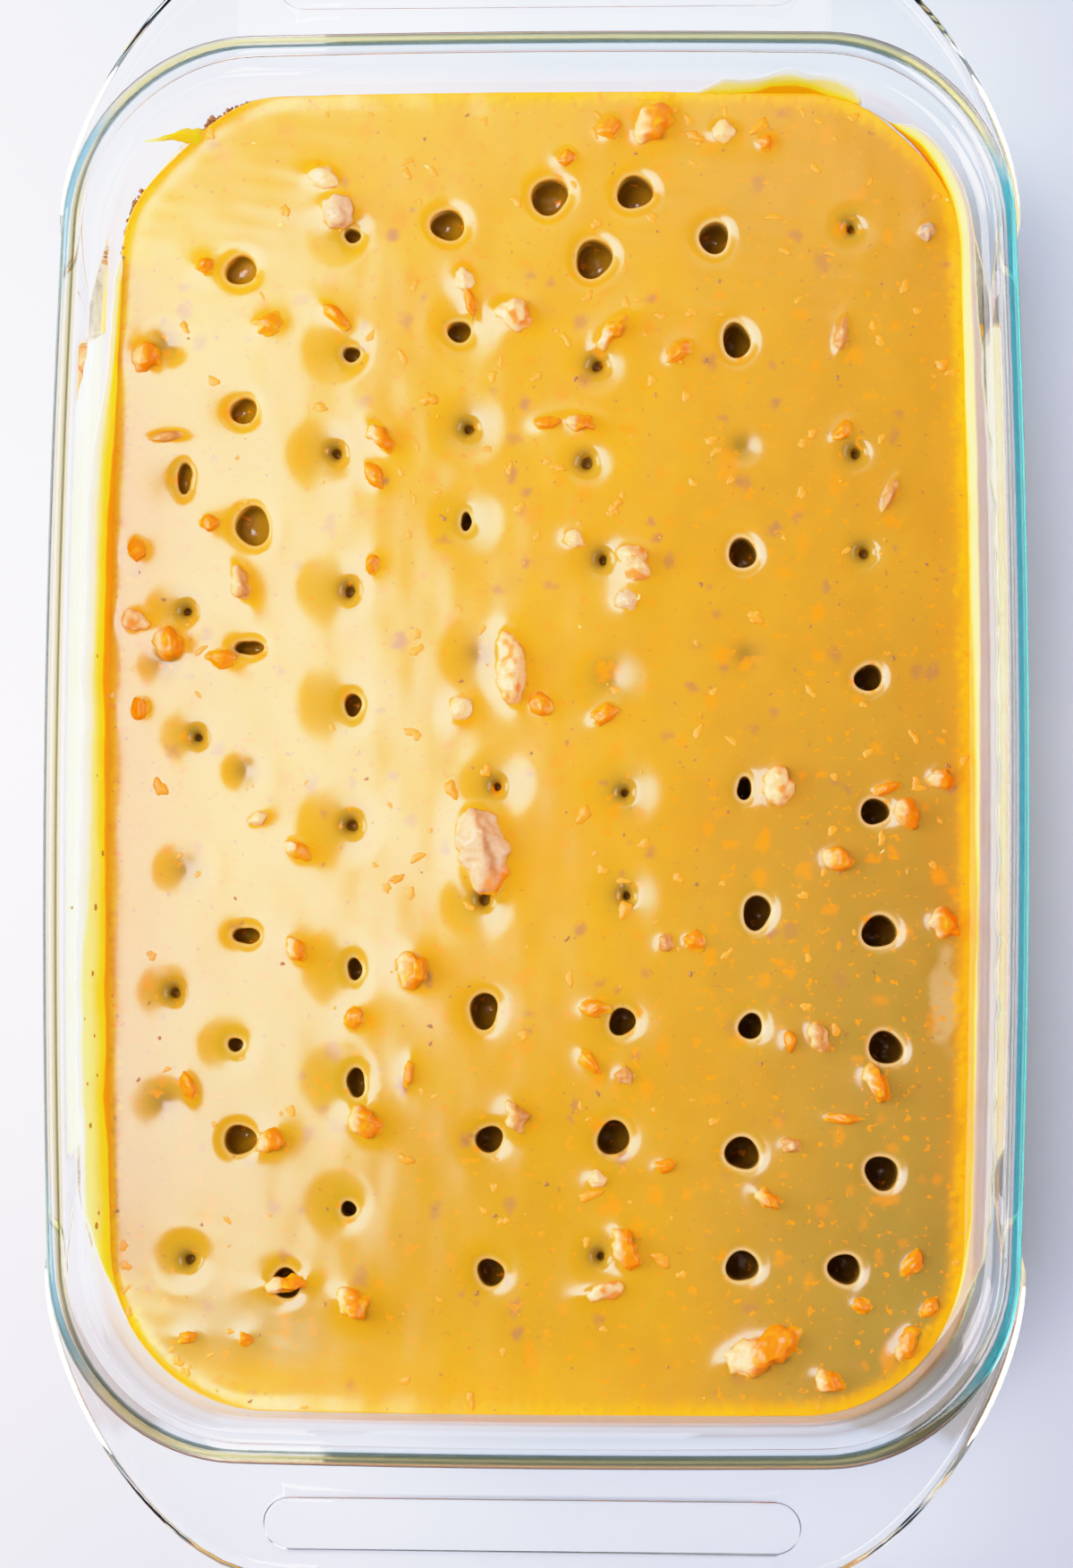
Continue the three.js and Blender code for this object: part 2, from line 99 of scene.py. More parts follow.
# Poke holes: x, y, mouth width and length (0 where the sauce has closed the hole),
# then the dent around it: offset in x and y, radius and depth
HOLES = [Hole(number, *row) for number, row in enumerate((
    (2.5, 135.5, 9, 9, 0.5, 0, 7, 0.4), (23.5, 136.5, 8.5, 8.5, 0, 0, 6.5, 0.4),
    (-22.5, 128.5, 8, 8, 0, 0, 6.5, 0.4), (-46, 126, 4, 3.5, -4, 2, 7, 1.0),
    (76.5, 127, 2, 2, 0.5, 0, 5.5, 1.0), (43, 125, 7.5, 7.5, 0, 0, 6.5, 0.4),
    (13.5, 120, 9, 9.5, 0, 0, 7, 0.4), (-73.5, 117.5, 7.5, 7.5, -1, 0, 5.5, 0.3),
    (-19.5, 102, 5.5, 5.5, 2, 1, 8, 0.7), (48.5, 99.5, 6.5, 9, 0, 0, 6.5, 0.5),
    (-91, 99, 0, 0, 0, 0, 6, 1.4), (-46, 96.5, 4.5, 3.5, -4.5, 3, 7.5, 1.2),
    (14.5, 93.5, 3, 2.5, 0, 0, 6.5, 1.0), (-72.5, 82.5, 6.5, 6.5, -2.5, 0, 6.5, 0.6),
    (-17, 78, 2.5, 2.5, 0, 0, 8.5, 1.0), (50.5, 73, 0, 0, 0, 0, 4.5, 0.9),
    (-49.5, 72, 2.5, 2.5, -4.5, -1, 7.5, 1.2), (77.5, 71.5, 2.5, 2.5, 0, 0, 5, 0.9),
    (12, 69.5, 3, 3, 0, 0, 6, 1.0), (-87, 66, 3.5, 8, -4, -1, 7, 1.0),
    (-17.5, 55, 2.5, 5, 0, 0, 8, 1.0), (-70, 54, 8, 10.5, -2, 0, 7.5, 0.5),
    (79.5, 47, 2.5, 2.5, 0, 0, 5.5, 0.9), (50, 47, 7, 7, 0, 0, 6, 0.4),
    (16, 45.5, 2, 2.5, 0, 0, 7, 1.0), (-46, 38, 2.5, 3, -4.5, 0, 8, 1.3),
    (-86, 33, 2, 2, -2, 2.5, 6.5, 1.1), (-70.5, 24, 7, 3.5, 0, 0, 5, 0.6),
    (-13.5, 22, 0, 0, 0, 0, 9, 0.9), (51.5, 21.5, 0, 0, 0, 0, 6, 0.3),
    (-90.5, 20.5, 0, 0, 0, -1, 6, 1.4), (18, 17, 0, 0, 0, -2, 8, 1.1),
    (80.5, 16.5, 6.5, 6.5, 0, 0, 6, 0.4), (-45, 10, 4, 6, -3.5, 0, 8.5, 1.2),
    (-83, 2, 2, 2, -1.5, 0, 6.5, 1.2), (-70.5, -6.5, 0, 0, 0, 0, 5, 1.3),
    (-9.5, -10, 2, 2, 0, 0.5, 8, 1.1), (50.5, -10.5, 3.5, 5.5, 0, 0, 6, 0.6),
    (21.5, -11.5, 2, 2, 0, 0, 8.5, 1.2), (82, -16, 6.5, 6.5, 0, 0, 6, 0.4),
    (-45, -19.5, 3, 3, -1, 0, 9, 1.6), (-84.5, -30.5, 0, 0, 0, 0, 7, 1.4),
    (22, -36.5, 2, 2, 0, 0, 8, 1.1), (-12.5, -37.5, 3, 3, -2, -1, 8, 1.1),
    (53.5, -40.5, 6.5, 8.5, 0, 0, 7.5, 0.6), (83, -45, 8, 8, 0, 0, 6.5, 0.4),
    (-70.5, -46.5, 6.5, 4, 0, 1, 5.5, 0.7), (-44, -54.5, 3.5, 5.5, -5, 0, 8, 1.2),
    (-88, -60.5, 2.5, 2.5, -0.5, 0, 7, 1.5), (-12.5, -64.5, 7, 8.5, 1.5, 0, 8, 0.6),
    (21, -67, 6.5, 6.5, 0.5, -0.5, 8, 0.7), (52, -68, 5.5, 6.5, 0.5, -1, 7.5, 0.7),
    (-73, -73, 3.5, 3.5, 0, 0, 7, 1.5), (84.5, -73, 8, 8, 0, 0, 6.5, 0.4),
    (-43.5, -82, 4.5, 7, -4, 1, 8, 1.1), (-89.5, -87.5, 0, 0, 0, 0, 7, 1.5),
    (19, -95, 8, 8, 0.5, -0.5, 8, 0.6), (-11, -95.5, 6.5, 6.5, 1, -1, 8, 0.6),
    (-71.5, -96, 7.5, 7.5, -0.5, 0, 6, 0.3), (50, -98.5, 8, 8, 0, 0, 7, 0.5),
    (83.5, -103, 8, 8, 0, 0, 6.5, 0.4), (-45, -112.5, 4, 3.5, -2, 2, 7, 1.0),
    (16, -123.5, 2, 2, 0, 0, 6, 0.9), (-83.5, -125, 2.5, 2.5, 0, 0, 6.5, 1.6),
    (50, -125.5, 7.5, 7.5, 0, 0, 6.5, 0.4), (74.5, -126, 7.5, 7.5, 0, 0, 6.5, 0.4),
    (-10.5, -127.5, 6.5, 6.5, 0.5, -0.5, 7.5, 0.5), (-60, -130.5, 7, 7, 0, 1, 6.5, 0.8),
))]
# The holes that the sauce has not closed
POKES = [hole for hole in HOLES if hole.width]

# Candy pieces as large as berries: x, y, length, width, turn in degrees and kind, orange where none is named
CHUNKS = [Candy(number, *row) for number, row in enumerate((
    (-13, -26.5, 26, 14, 106, "nut"), (54.5, -145.5, 22, 10.5, 24), (28, 153.5, 13, 9, 55),
    (-6, 19, 21, 9, 98, "pale"), (24, 44, 12, 8.5, -45, "pale"), (-6.5, 106, 12, 8, -20, "pale"),
    (18, 101.5, 13.5, 5, 43), (58.5, -10, 10.5, 8.5, 90, "pale"), (10.5, 79, 10, 5, -15),
    (90, -17, 8.5, 7, -50), (98.5, -8, 8.5, 6.5, -20), (98.5, -43.5, 10, 7, -35),
    (73, -27.5, 8.5, 7.5, -20), (82.5, -81.5, 11, 7, -50), (89, -143.5, 12, 6, 60), (71, -152.5, 9, 6, -30),
    (68.5, -71, 10, 5.5, -60, "toffee"), (22, -121.5, 12, 7, -72), (16, -132, 11, 5, 10, "pale"),
    (56, -109.5, 9.5, 5, -35), (-43.5, -135, 10.5, 8, -30), (-60, -130.5, 13.5, 4.5, 8),
    (-41, -91.5, 11, 8, -40), (-4.5, -90.5, 9.5, 6, -70, "toffee"), (-29.5, -54.5, 10, 9, -60),
    (-64, -96, 8.5, 6, 30), (-58, -50, 9, 5, -50), (-49.5, 132, 10, 8.5, -40, "nut"),
    (-58, -25.5, 8.5, 5.5, -35), (-96.5, 96, 9, 8, 100), (-98.5, 30.5, 8, 6.5, 15, "pale"),
    (-90, 24.5, 8.5, 8, -30), (-38.5, 75.5, 10, 5, -52), (-72.5, 40, 11.5, 5, -68, "toffee"),
), start=1)]

# Smaller bits that the sauce holds, in the same way
BITS = [Candy(number, *row) for number, row in enumerate((
    (2.5, 79, 7.5, 4, 10), (22, 35.5, 6.5, 6, 0, "nut"), (-17, 109.5, 11, 3, -75),
    (-18.5, 115, 7, 5.5, 90, "pale"), (84.5, -10.5, 8, 3.5, 22), (95, -135, 6.5, 4.5, 50),
    (-53.5, 140.5, 9.5, 6, -20, "pale"), (-40, 66.5, 8, 5, -60), (1, 10, 7, 6, -20),
    (-18.5, 8.5, 8, 6.5, 60, "pale"), (34.5, 96.5, 8, 5, 40), (74, 76.5, 7, 4, 45), (91, -124.5, 8, 5, 62),
    (45, 151, 7.5, 6, 0, "pale"), (55.5, 148.5, 4.5, 4.5, 0), (17.5, 152, 6.5, 6, 0),
    (-66.5, 104, 8, 5, 20), (-82.5, 118.5, 5, 4.5, 0), (-40.5, 44.5, 5.5, 4, 80), (-77, 21, 7.5, 5, -10),
    (-98.5, 48, 6, 6.5, 0), (-80.5, 54.5, 5, 5, -60), (-97.5, 9, 6, 5, 90), (-68, -18, 6, 4, 20, "pale"),
    (-43.5, -66.5, 6.5, 6, 0), (-30.5, -79.5, 8, 3, 85), (14.5, -64, 7, 5, 0), (13.5, -77, 8.5, 4, -50),
    (21.5, -80, 5.5, 5, 0, "toffee"), (61.5, -71.5, 5.5, 4, 90), (78.5, -134.5, 5, 4.5, 0),
    (31.5, -101.5, 5.5, 3.5, 10), (15, -105, 5.5, 4.5, 0, "pale"), (62, -96.5, 5.5, 4.5, -20, "toffee"),
    (16.5, 7.5, 8, 5, 35), (31.5, -48, 5, 4.5, 90, "toffee"), (38, -47.5, 6, 5.5, 0),
    (9, 50.5, 6, 5, -30, "pale"), (-91, 76, 10, 3, 3, "toffee"), (-83.5, -143.5, 6, 3.5, 0),
    (-69.5, -144, 4.5, 3.5, 0), (74, 100.5, 10, 3.5, 80, "toffee"), (86, 61.5, 9.5, 3, 66, "toffee"),
    (74.5, -90, 9.5, 3, -4), (-84, -83.5, 9, 4, -72), (-50, 106, 9, 4, -45), (95, 126, 5, 5, 0, "grey"),
    (6.5, 145, 5.5, 4.5, 20),
))]

# Linear colours
AMBER = (0.85, 0.345, 0.001)
AMBER_WARM = (0.78, 0.355, 0.004)
AMBER_DEEP = (1.0, 0.41, 0.0005)
AMBER_STREAK_AND_LIT_EDGE = (0.92, 0.50, 0.001)
AMBER_NEAR_END_SHADE = (0.55, 0.29, 0.002)
OLIVE_SHADE = (0.37, 0.22, 0.022)
OLIVE_SHADE_LOW = (0.27, 0.205, 0.034)
OLIVE_MOTTLE_AND_DENT_SHADE = (0.50, 0.31, 0.012)
DENT_MIDDLE_SHADE = (0.26, 0.15, 0.015)
GHOST = (0.72, 0.55, 0.26)
LIP_HIGHLIGHT = (1.0, 0.66, 0.34)
NEAR_SHADE = (0.42, 0.30, 0.07)
POOL_SHADE_PALE = (0.42, 0.22, 0.004)
POOL_SHADE_DEEP = (0.19, 0.085, 0.006)
PINPRICK_SHADE = (0.34, 0.17, 0.012)
CANDY = {
    "orange": (0.98, 0.235, 0.0002),
    "pale": (1.0, 0.54, 0.24),
    "nut": (0.80, 0.47, 0.26),
    "toffee": (0.62, 0.26, 0.06),
    "grey": (0.46, 0.34, 0.24),
}
ORANGE_LIGHT = (1.0, 0.40, 0.006)
ORANGE_DARK = (0.85, 0.165, 0.0004)
PAINTED_LEFT_SHEEN = (1.0, 0.62, 0.32)
RIDGE = (0.45, 0.18, 0.05)
FILM_YELLOW = (1.0, 0.78, 0.02)
FILM_CREAM = (1.0, 0.86, 0.36)
FILM_CLEAR = (0.95, 0.93, 0.84)
FILM_BACK = (0.96, 0.88, 0.72)
CHOCOLATE = (0.055, 0.022, 0.010)
UPPER_PALE = (0.68, 0.53, 0.36)
WHITE_TINT = (1.0, 1.0, 1.0)
HAZE = (0.47, 0.43, 0.33)
HAZE_FLARE = (0.27, 0.30, 0.28)
HAZE_FAR = (0.56, 0.55, 0.52)
ORANGE_STAIN = (1.0, 0.29, 0.0003)
BROWN_STAIN = (0.42, 0.20, 0.05)
SPECK_BROWN = (0.50, 0.20, 0.012)
CRUMB_BROWN = (0.34, 0.16, 0.06)
RIM_BLUE = (0.12, 0.38, 0.46)
GLASS_IOR = 1.46

# Tints round the bead from its inner side at 0 degrees over its top to its outer side at 180: the glass's own
# teal, and painted reflections, dark lines and gold bands that stand in for the surroundings and the cake seen
# in the bead
RIM_END = (
    (0, (0.55, 0.42, 0.32)), (14, WHITE_TINT), (54, (0.85, 0.94, 1.0)), (62, (0.03, 0.06, 0.05)),
    (86, (0.04, 0.05, 0.01)), (94, (0.72, 0.54, 0.10)), (122, (0.80, 0.64, 0.20)), (134, (0.95, 0.92, 0.84)),
    (146, (0.12, 0.05, 0.02)), (162, (0.16, 0.08, 0.04)), (172, (0.8, 0.75, 0.7)),
)
RIM_RIGHT = (
    (0, (0.80, 0.73, 0.62)), (30, (0.86, 0.80, 0.70)), (50, (0.80, 0.84, 0.70)), (66, (0.10, 0.13, 0.09)),
    (80, (0.10, 0.22, 0.22)), (90, (0.01, 0.44, 0.56)), (122, (0.01, 0.40, 0.52)), (130, (0.002, 0.20, 0.28)),
    (138, (0.01, 0.44, 0.58)), (160, (0.02, 0.46, 0.60)), (172, (0.85, 0.97, 0.97)), (180, (0.90, 0.97, 0.97)),
)
RIM_LEFT = (
    (0, WHITE_TINT), (24, WHITE_TINT), (34, (0.66, 0.50, 0.16)), (48, (0.60, 0.46, 0.14)),
    (56, (0.04, 0.04, 0.01)), (68, (0.05, 0.05, 0.01)), (76, (0.60, 0.46, 0.14)), (114, (0.56, 0.45, 0.18)),
    (124, (0.02, 0.05, 0.09)), (148, (0.10, 0.18, 0.25)), (165, (0.02, 0.06, 0.10)), (180, (0.08, 0.14, 0.20)),
)
# The same painted bands for the near end's inner wall, by height in millimetres
NEAR_WALL = (
    (40, WHITE_TINT), (42, (0.92, 0.72, 0.34)), (45, (0.78, 0.66, 0.46)), (48, (0.80, 0.72, 0.62)),
    (49.6, (0.50, 0.41, 0.31)), (51, (0.80, 0.75, 0.67)), (52.3, (0.72, 0.68, 0.63)),
    (53.3, (0.56, 0.45, 0.32)), (54.2, (0.86, 0.85, 0.86)), (55.2, WHITE_TINT),
)


# Meshes
def shade_smooth(mesh):
    mesh.polygons.foreach_set("use_smooth", [True] * len(mesh.polygons))


def mesh_object(name, points, faces):
    """An object from points in millimetres and faces as tuples of indices."""
    mesh = bpy.data.meshes.new(name)
    mesh.from_pydata((np.asarray(points, dtype=float) * MM).tolist(), [], faces)
    mesh.update()
    shade_smooth(mesh)
    thing = bpy.data.objects.new(name, mesh)
    bpy.context.collection.objects.link(thing)
    return thing


def paint(thing, values):
    """Gives every vertex a colour, as linear values."""
    layer = thing.data.color_attributes.new("tint", "FLOAT_COLOR", "POINT")
    rgba = np.ones((len(thing.data.vertices), 4))
    rgba[:, :3] = values
    layer.data.foreach_set("color", rgba.ravel())


def outward(thing, merge=False):
    """Turns the faces of a mesh outward. With merge, points that fall together are joined first."""
    mesh = bmesh.new()
    mesh.from_mesh(thing.data)
    if merge:
        bmesh.ops.remove_doubles(mesh, verts=mesh.verts, dist=2e-6)
        bmesh.ops.dissolve_degenerate(mesh, edges=mesh.edges, dist=1e-6)
    bmesh.ops.recalc_face_normals(mesh, faces=mesh.faces)
    mesh.to_mesh(thing.data)
    mesh.free()
    return thing


def apply_modifiers(thing):
    """Replaces an object's mesh by what its modifiers make of it."""
    graph = bpy.context.evaluated_depsgraph_get()
    result = bpy.data.meshes.new_from_object(thing.evaluated_get(graph))
    thing.modifiers.clear()
    thing.data = result
    shade_smooth(result)


def vertex_values(thing, key):
    flat = np.empty(len(thing.data.vertices) * 3)
    thing.data.vertices.foreach_get(key, flat)
    return flat.reshape(-1, 3)


def positions(thing):
    return vertex_values(thing, "co") / MM


def move(thing, points):
    """Puts an object's vertices at new places in millimetres."""
    thing.data.vertices.foreach_set("co", (points * MM).ravel())
    thing.data.update()


class Body:
    """Points, faces and colours of a mesh that grows part by part."""

    def __init__(self):
        self.points = []
        self.faces = []
        self.colours = []
        self.count = 0

    def add(self, points, colour=WHITE_TINT, faces=()):
        """Adds points of one colour or of a colour each, with faces between them, and gives their indices."""
        first = self.count
        self.count += len(points)
        self.points.append(points)
        self.colours.append(np.broadcast_to(colour, (len(points), 3)))
        self.faces += [tuple(k + first for k in face) for face in faces]
        return list(range(first, self.count))

    def extend(self, edge, points, colour=WHITE_TINT):
        """Adds a ring of points, joined by quads to the ring of indices in edge."""
        added = self.add(points, colour)
        self.faces += zip(edge, edge[1:] + edge[:1], added[1:] + added[:1], added)
        return added

    def cap(self, edge, tip, colour=WHITE_TINT):
        """Closes a ring of indices with a fan round a new point."""
        [middle] = self.add([tip], colour)
        self.faces += [(a, b, middle) for a, b in zip(edge, edge[1:] + edge[:1])]

    def loft(self, rings, colour=WHITE_TINT):
        """Adds rings joined by quads, and gives the indices of the first and the last."""
        first = last = self.add(rings[0], colour)
        for points in rings[1:]:
            last = self.extend(last, points, colour)
        return first, last

    def build(self, name, painted=True):
        thing = mesh_object(name, np.vstack(self.points), self.faces)
        if painted:
            paint(thing, np.vstack(self.colours))
        return thing


def closed_loft(name, rings):
    """An object over rings of the same count, with a fan at both ends."""
    body = Body()
    first, last = body.loft(rings)
    body.cap(first, rings[0].mean(axis=0))
    body.cap(last, rings[-1].mean(axis=0))
    return body.build(name, painted=False)


def triangulate(parts, closed):
    """Triangles over lists of points (x, y). The parts numbered in closed are loops whose edges stay.

    Gives the points, the triangles and, for each part, the indices of its points.
    """
    starts = np.cumsum([0] + [len(part) for part in parts])
    edges = []
    for number in closed:
        size = len(parts[number])
        edges += [(starts[number] + k, starts[number] + (k + 1) % size) for k in range(size)]
    result = delaunay_2d_cdt([Vector(p) for p in np.vstack(parts)], edges, [], 0, 1e-6)
    places = np.empty(starts[-1], dtype=int)
    for new, old in enumerate(result[3]):
        places[old] = new
    spots = np.array([tuple(v) for v in result[0]])
    triangles = np.array([tuple(f) for f in result[2]])
    return spots, triangles, [places[a:b].tolist() for a, b in zip(starts, starts[1:])]


def at_height(points, z):
    """Points (x, y, z) from points (x, y) and one height or a height each."""
    return np.column_stack((points, np.broadcast_to(z, len(points))))


def rotate(x, y, angle):
    """Places turned about the origin by an angle in radians."""
    return x * math.cos(angle) - y * math.sin(angle), x * math.sin(angle) + y * math.cos(angle)


def smoothstep(low, high, value):
    """A soft step from 0 at low to 1 at high, where low may be the larger."""
    share = np.clip((value - low) / (high - low), 0, 1)
    return share * share * (3 - 2 * share)


def blend(first, second, share):
    """Mixes colours or arrays of colours by an array of shares."""
    share = np.asarray(share)[..., None]
    return np.asarray(first) * (1 - share) + np.asarray(second) * share


def knots(value, stops):
    """Heights or colours along a line through stops of place and height or colour."""
    places, goals = zip(*stops)
    columns = np.transpose(goals)
    if columns.ndim == 1:
        return np.interp(value, places, columns)
    return np.column_stack([np.interp(value, places, column) for column in columns])


def ripple(x, y, size, seed):
    """A smooth random height from -1 to 1 with bumps of about that size."""
    waves = 7
    dice = random.Random(seed)
    total = np.zeros_like(x, dtype=float)
    for _ in range(waves):
        turn = dice.uniform(0, TURN)
        length = size * dice.uniform(0.7, 1.6)
        phase = dice.uniform(0, TURN)
        along = x * math.cos(turn) + y * math.sin(turn)
        total += np.sin(TURN * along / length + phase)
    return total / waves * 1.4


# Outline of the dish
CORNER_SIGNS = ((1, 1), (-1, 1), (-1, -1), (1, -1))


def ring_plan(corner_steps, long_steps, short_steps):
    """Corner share in x and y, and the arc's direction, for every point of a ring."""
    rows = []
    for quarter, here in enumerate(CORNER_SIGNS):
        after = CORNER_SIGNS[(quarter + 1) % 4]
        for step in range(corner_steps + 1):
            angle = (quarter + step / corner_steps) * math.pi / 2
            rows.append((*here, math.cos(angle), math.sin(angle)))
        steps = long_steps if quarter % 2 else short_steps
        for step in range(1, steps):
            share = step / steps
            x = here[0] + (after[0] - here[0]) * share
            y = here[1] + (after[1] - here[1]) * share
            rows.append((x, y, math.cos(angle), math.sin(angle)))
    return np.array(rows).T


RING = ring_plan(18, 44, 26)
FINE_RING = ring_plan(40, 200, 110)


def outline(inset, plan=RING):
    """Points (x, y) of the dish's outline at an inset, which may differ from point to point."""
    inset = np.broadcast_to(np.asarray(inset, dtype=float), plan.shape[1:])
    below = BEAD_WIDTH + (inset - BEAD_WIDTH) * END_WALL_STEEPNESS
    end_inset = np.where(inset > BEAD_WIDTH, below, inset)
    radius = CORNER_RADIUS - CORNER_SHRINK * inset
    share_x, share_y, way_x, way_y = plan
    x = share_x * (HALF_WIDTH - inset - radius) + radius * way_x
    y = share_y * (HALF_LENGTH - end_inset - radius) + radius * way_y
    bowed_x = x * (1 - SIDE_BOW * (y / HALF_LENGTH) ** 2)
    bowed_y = y * (1 - END_BOW * (x / HALF_WIDTH) ** 2)
    return np.column_stack((bowed_x, bowed_y))


def ring(inset, z, plan=RING):
    return at_height(outline(inset, plan), z)


def inner_inset(z):
    return INNER_INSET_AT_TOP + (WALL_TOP - z) * math.tan(DRAFT)


def outer_inset(z):
    return OUTER_INSET_AT_TOP + (WALL_TOP - z) * math.tan(DRAFT)


def arc(middle, radius, start, end, steps):
    """Points on an arc between two angles in degrees."""
    angles = np.radians(np.linspace(start, end, steps + 1))
    return [(middle[0] + radius * math.cos(a), middle[1] + radius * math.sin(a)) for a in angles]


def bend(steps, *controls):
    """Points on a Bezier curve over its control points."""
    degree = len(controls) - 1
    curve = []
    for step in range(steps + 1):
        t = step / steps
        weights = [math.comb(degree, k) * t**k * (1 - t) ** (degree - k) for k in range(degree + 1)]
        curve.append(tuple(np.dot(weights, controls)))
    return curve


BEAD = arc(BEAD_MIDDLE, BEAD_RADIUS, -125, -370, 30)
OUTSIDE_FLARE = bend(24, (OUTER_INSET_AT_TOP, WALL_TOP), FLARE_OUTSIDE, BEAD[0])
FLOOR_HEIGHT = FLOOR_THICKNESS + FLOOR_RADIUS
FLOOR_MIDDLE = (inner_inset(FLOOR_HEIGHT) + FLOOR_RADIUS / math.cos(DRAFT), FLOOR_HEIGHT)
FOOT_MIDDLE = (outer_inset(FOOT_RADIUS) + FOOT_RADIUS / math.cos(DRAFT), FOOT_RADIUS)


# Dish
def lug_curve():
    """The lug's edge in one quarter, from where it leaves the side wall to its middle."""
    points = bend(16, (110.3, 106), (114.5, 113), (116.6, 125))
    points += bend(40, (116.6, 125), (118, 152), (90, 196.5), (63, 199.1))[1:]
    points += bend(40, (63, 199.1), (0, 202.0), (-63, 199.1))[1:21]
    return np.array(points)


def lug_reach(wall):
    """How far the lug stands out from each point of the wall, and in which direction."""
    curve = lug_curve() - (0, LUG_ROOT_Y)
    curve_angle = np.arctan2(curve[:, 1], curve[:, 0])
    curve_far = np.hypot(curve[:, 0], curve[:, 1])
    x, y = wall.T
    past = np.abs(y) - LUG_ROOT_Y
    angle = np.arctan2(past, np.abs(x))
    far = np.interp(angle, curve_angle, curve_far) - np.hypot(x, past)
    reach = np.where(past > 0, np.maximum(far, 0), 0)
    way = np.column_stack((x, np.sign(y) * np.maximum(past, 0)))
    return reach, way / np.linalg.norm(way, axis=1)[:, None]


def outside_inset(z):
    """Inset of the outer wall at heights from the foot arc up to the bead."""
    inset, height = np.transpose(OUTSIDE_FLARE)
    return np.where(z < WALL_TOP, outer_inset(z), np.interp(z, height, inset))


def lug_rings():
    """Rings round the lug's section. Where there is no lug they fall on one line."""
    middle_z = (LUG_LOW + LUG_HIGH) / 2
    reach, way = lug_reach(outline(outside_inset(middle_z)))
    full = smoothstep(0, 9, reach)
    half = (LUG_HIGH - LUG_LOW) / 2 * full
    fillet = np.minimum(2.4, 0.3 * reach)
    upper = 0.6 * fillet
    edge = np.minimum(LUG_ROUNDING, 0.44 * reach) * full
    low = middle_z - half
    high = middle_z + half
    quarter = np.radians((0, 22.5, 45, 67.5, 90))
    shares = (0.12, 0.35, 0.65, 0.9)
    section = [(fillet * (1 - math.cos(a)), low - fillet * full * (1 - math.sin(a))) for a in quarter]
    section += [(fillet + (reach - edge - fillet) * share, low) for share in shares]
    section += [(reach - edge + edge * math.sin(a), low + edge * (1 - math.cos(a))) for a in quarter]
    section += [(reach - edge + edge * math.cos(a), high - edge * (1 - math.sin(a))) for a in quarter]
    section += [(fillet + (reach - edge - fillet) * share, high) for share in shares[::-1]]
    for a in np.radians((0, 30, 60, 90)):
        section.append((upper * (1 - math.sin(a)), high + upper * full * (1 - math.cos(a))))
    return [at_height(outline(outside_inset(z)) + way * out[:, None], z) for out, z in section]


def dish_rings():
    below = [(FOOT_MIDDLE[0] + 8, 0), *arc(FOOT_MIDDLE, FOOT_RADIUS, -90, -168, 9)]
    below += [(outer_inset(z), z) for z in (14, 19, 24, 29, 34, 38, 41, 43)]
    above = OUTSIDE_FLARE[19:-1] + BEAD
    above += bend(7, BEAD[-1], FLARE_INSIDE, (INNER_INSET_AT_TOP, WALL_TOP))[1:]
    above += [(inner_inset(z), z) for z in (45, 42, 39, 36, 32, 28, 24, 20)]
    above += arc(FLOOR_MIDDLE, FLOOR_RADIUS, 192, 270, 9) + [(FLOOR_MIDDLE[0] + 8, FLOOR_THICKNESS)]
    return [ring(*spot) for spot in below] + lug_rings() + [ring(*spot) for spot in above]


def recess_cutter(middle_y):
    """A pill-shaped cutter with a rounded upper edge, for the recess under a lug."""
    soft = RECESS_ROUNDING
    rows = [(soft, -1), (0.55 * soft, 0), (0, 0.5 * soft)]
    rows += [(-soft * (1 - math.cos(a)), 1 - soft * (1 - math.sin(a))) for a in (0, 0.5, 1.05, 1.57)]
    way = np.linspace(0, math.pi, 17) - math.pi / 2
    way = np.concatenate((way, way + math.pi))
    side = np.repeat((1, -1), 17) * (RECESS_HALF_LENGTH - RECESS_RADIUS)
    rings = []
    for growth, z in rows:
        size = RECESS_RADIUS + growth
        pill = np.column_stack((side + size * np.cos(way), middle_y + size * np.sin(way)))
        rings.append(at_height(pill, LUG_LOW + z))
    return outward(closed_loft("recess_cutter", rings))


def rim_tints_and_reflections(at):
    """Tints on the bead and the near inner wall, as the glass shows them from above: the glass's own teal and
    painted reflections of the surroundings and the cake. White everywhere else.
    """
    tint = np.ones((len(at), 3))
    high = np.where(at[:, 2] > BEAD_MIDDLE[1])[0]
    x, y, z = at[high].T
    middle_line = outline(BEAD_MIDDLE[0], FINE_RING)
    way = np.roll(middle_line, -1, axis=0) - np.roll(middle_line, 1, axis=0)
    inward = np.column_stack((-way[:, 1], way[:, 0])) / np.linalg.norm(way, axis=1)[:, None]
    nearest = np.hypot(x[:, None] - middle_line[:, 0], y[:, None] - middle_line[:, 1]).argmin(axis=1)
    offset = ((at[high, :2] - middle_line[nearest]) * inward[nearest]).sum(axis=1)
    angle = np.degrees(np.arctan2(z - BEAD_MIDDLE[1], offset))
    side = smoothstep(150, 132, np.abs(y))
    right = np.where(y < 0, smoothstep(166, 148, -y), side)
    rim = blend(knots(angle, RIM_END), knots(angle, RIM_RIGHT), right * (x > 0))
    rim = blend(rim, knots(angle, RIM_LEFT), side * (x < 0))
    corner = smoothstep(98, 120, np.abs(y)) * smoothstep(158, 145, np.abs(y)) * (x < 0)
    rim = blend(rim, RIM_BLUE, corner * smoothstep(84, 96, angle))
    tint[high] = rim
    x, y, z = at.T
    inset = HALF_LENGTH + y
    wall = (z > 40) & (z < 55.4) & (inset > np.where(z > 53.3, 4.5, 8)) & (inset < 45) & (np.abs(x) < 112)
    share = smoothstep(-128, -145, y[wall]) * (0.7 + 0.3 * smoothstep(-70, 40, x[wall]))
    tint[wall] = blend(tint[wall], knots(z[wall], NEAR_WALL), share)
    return tint


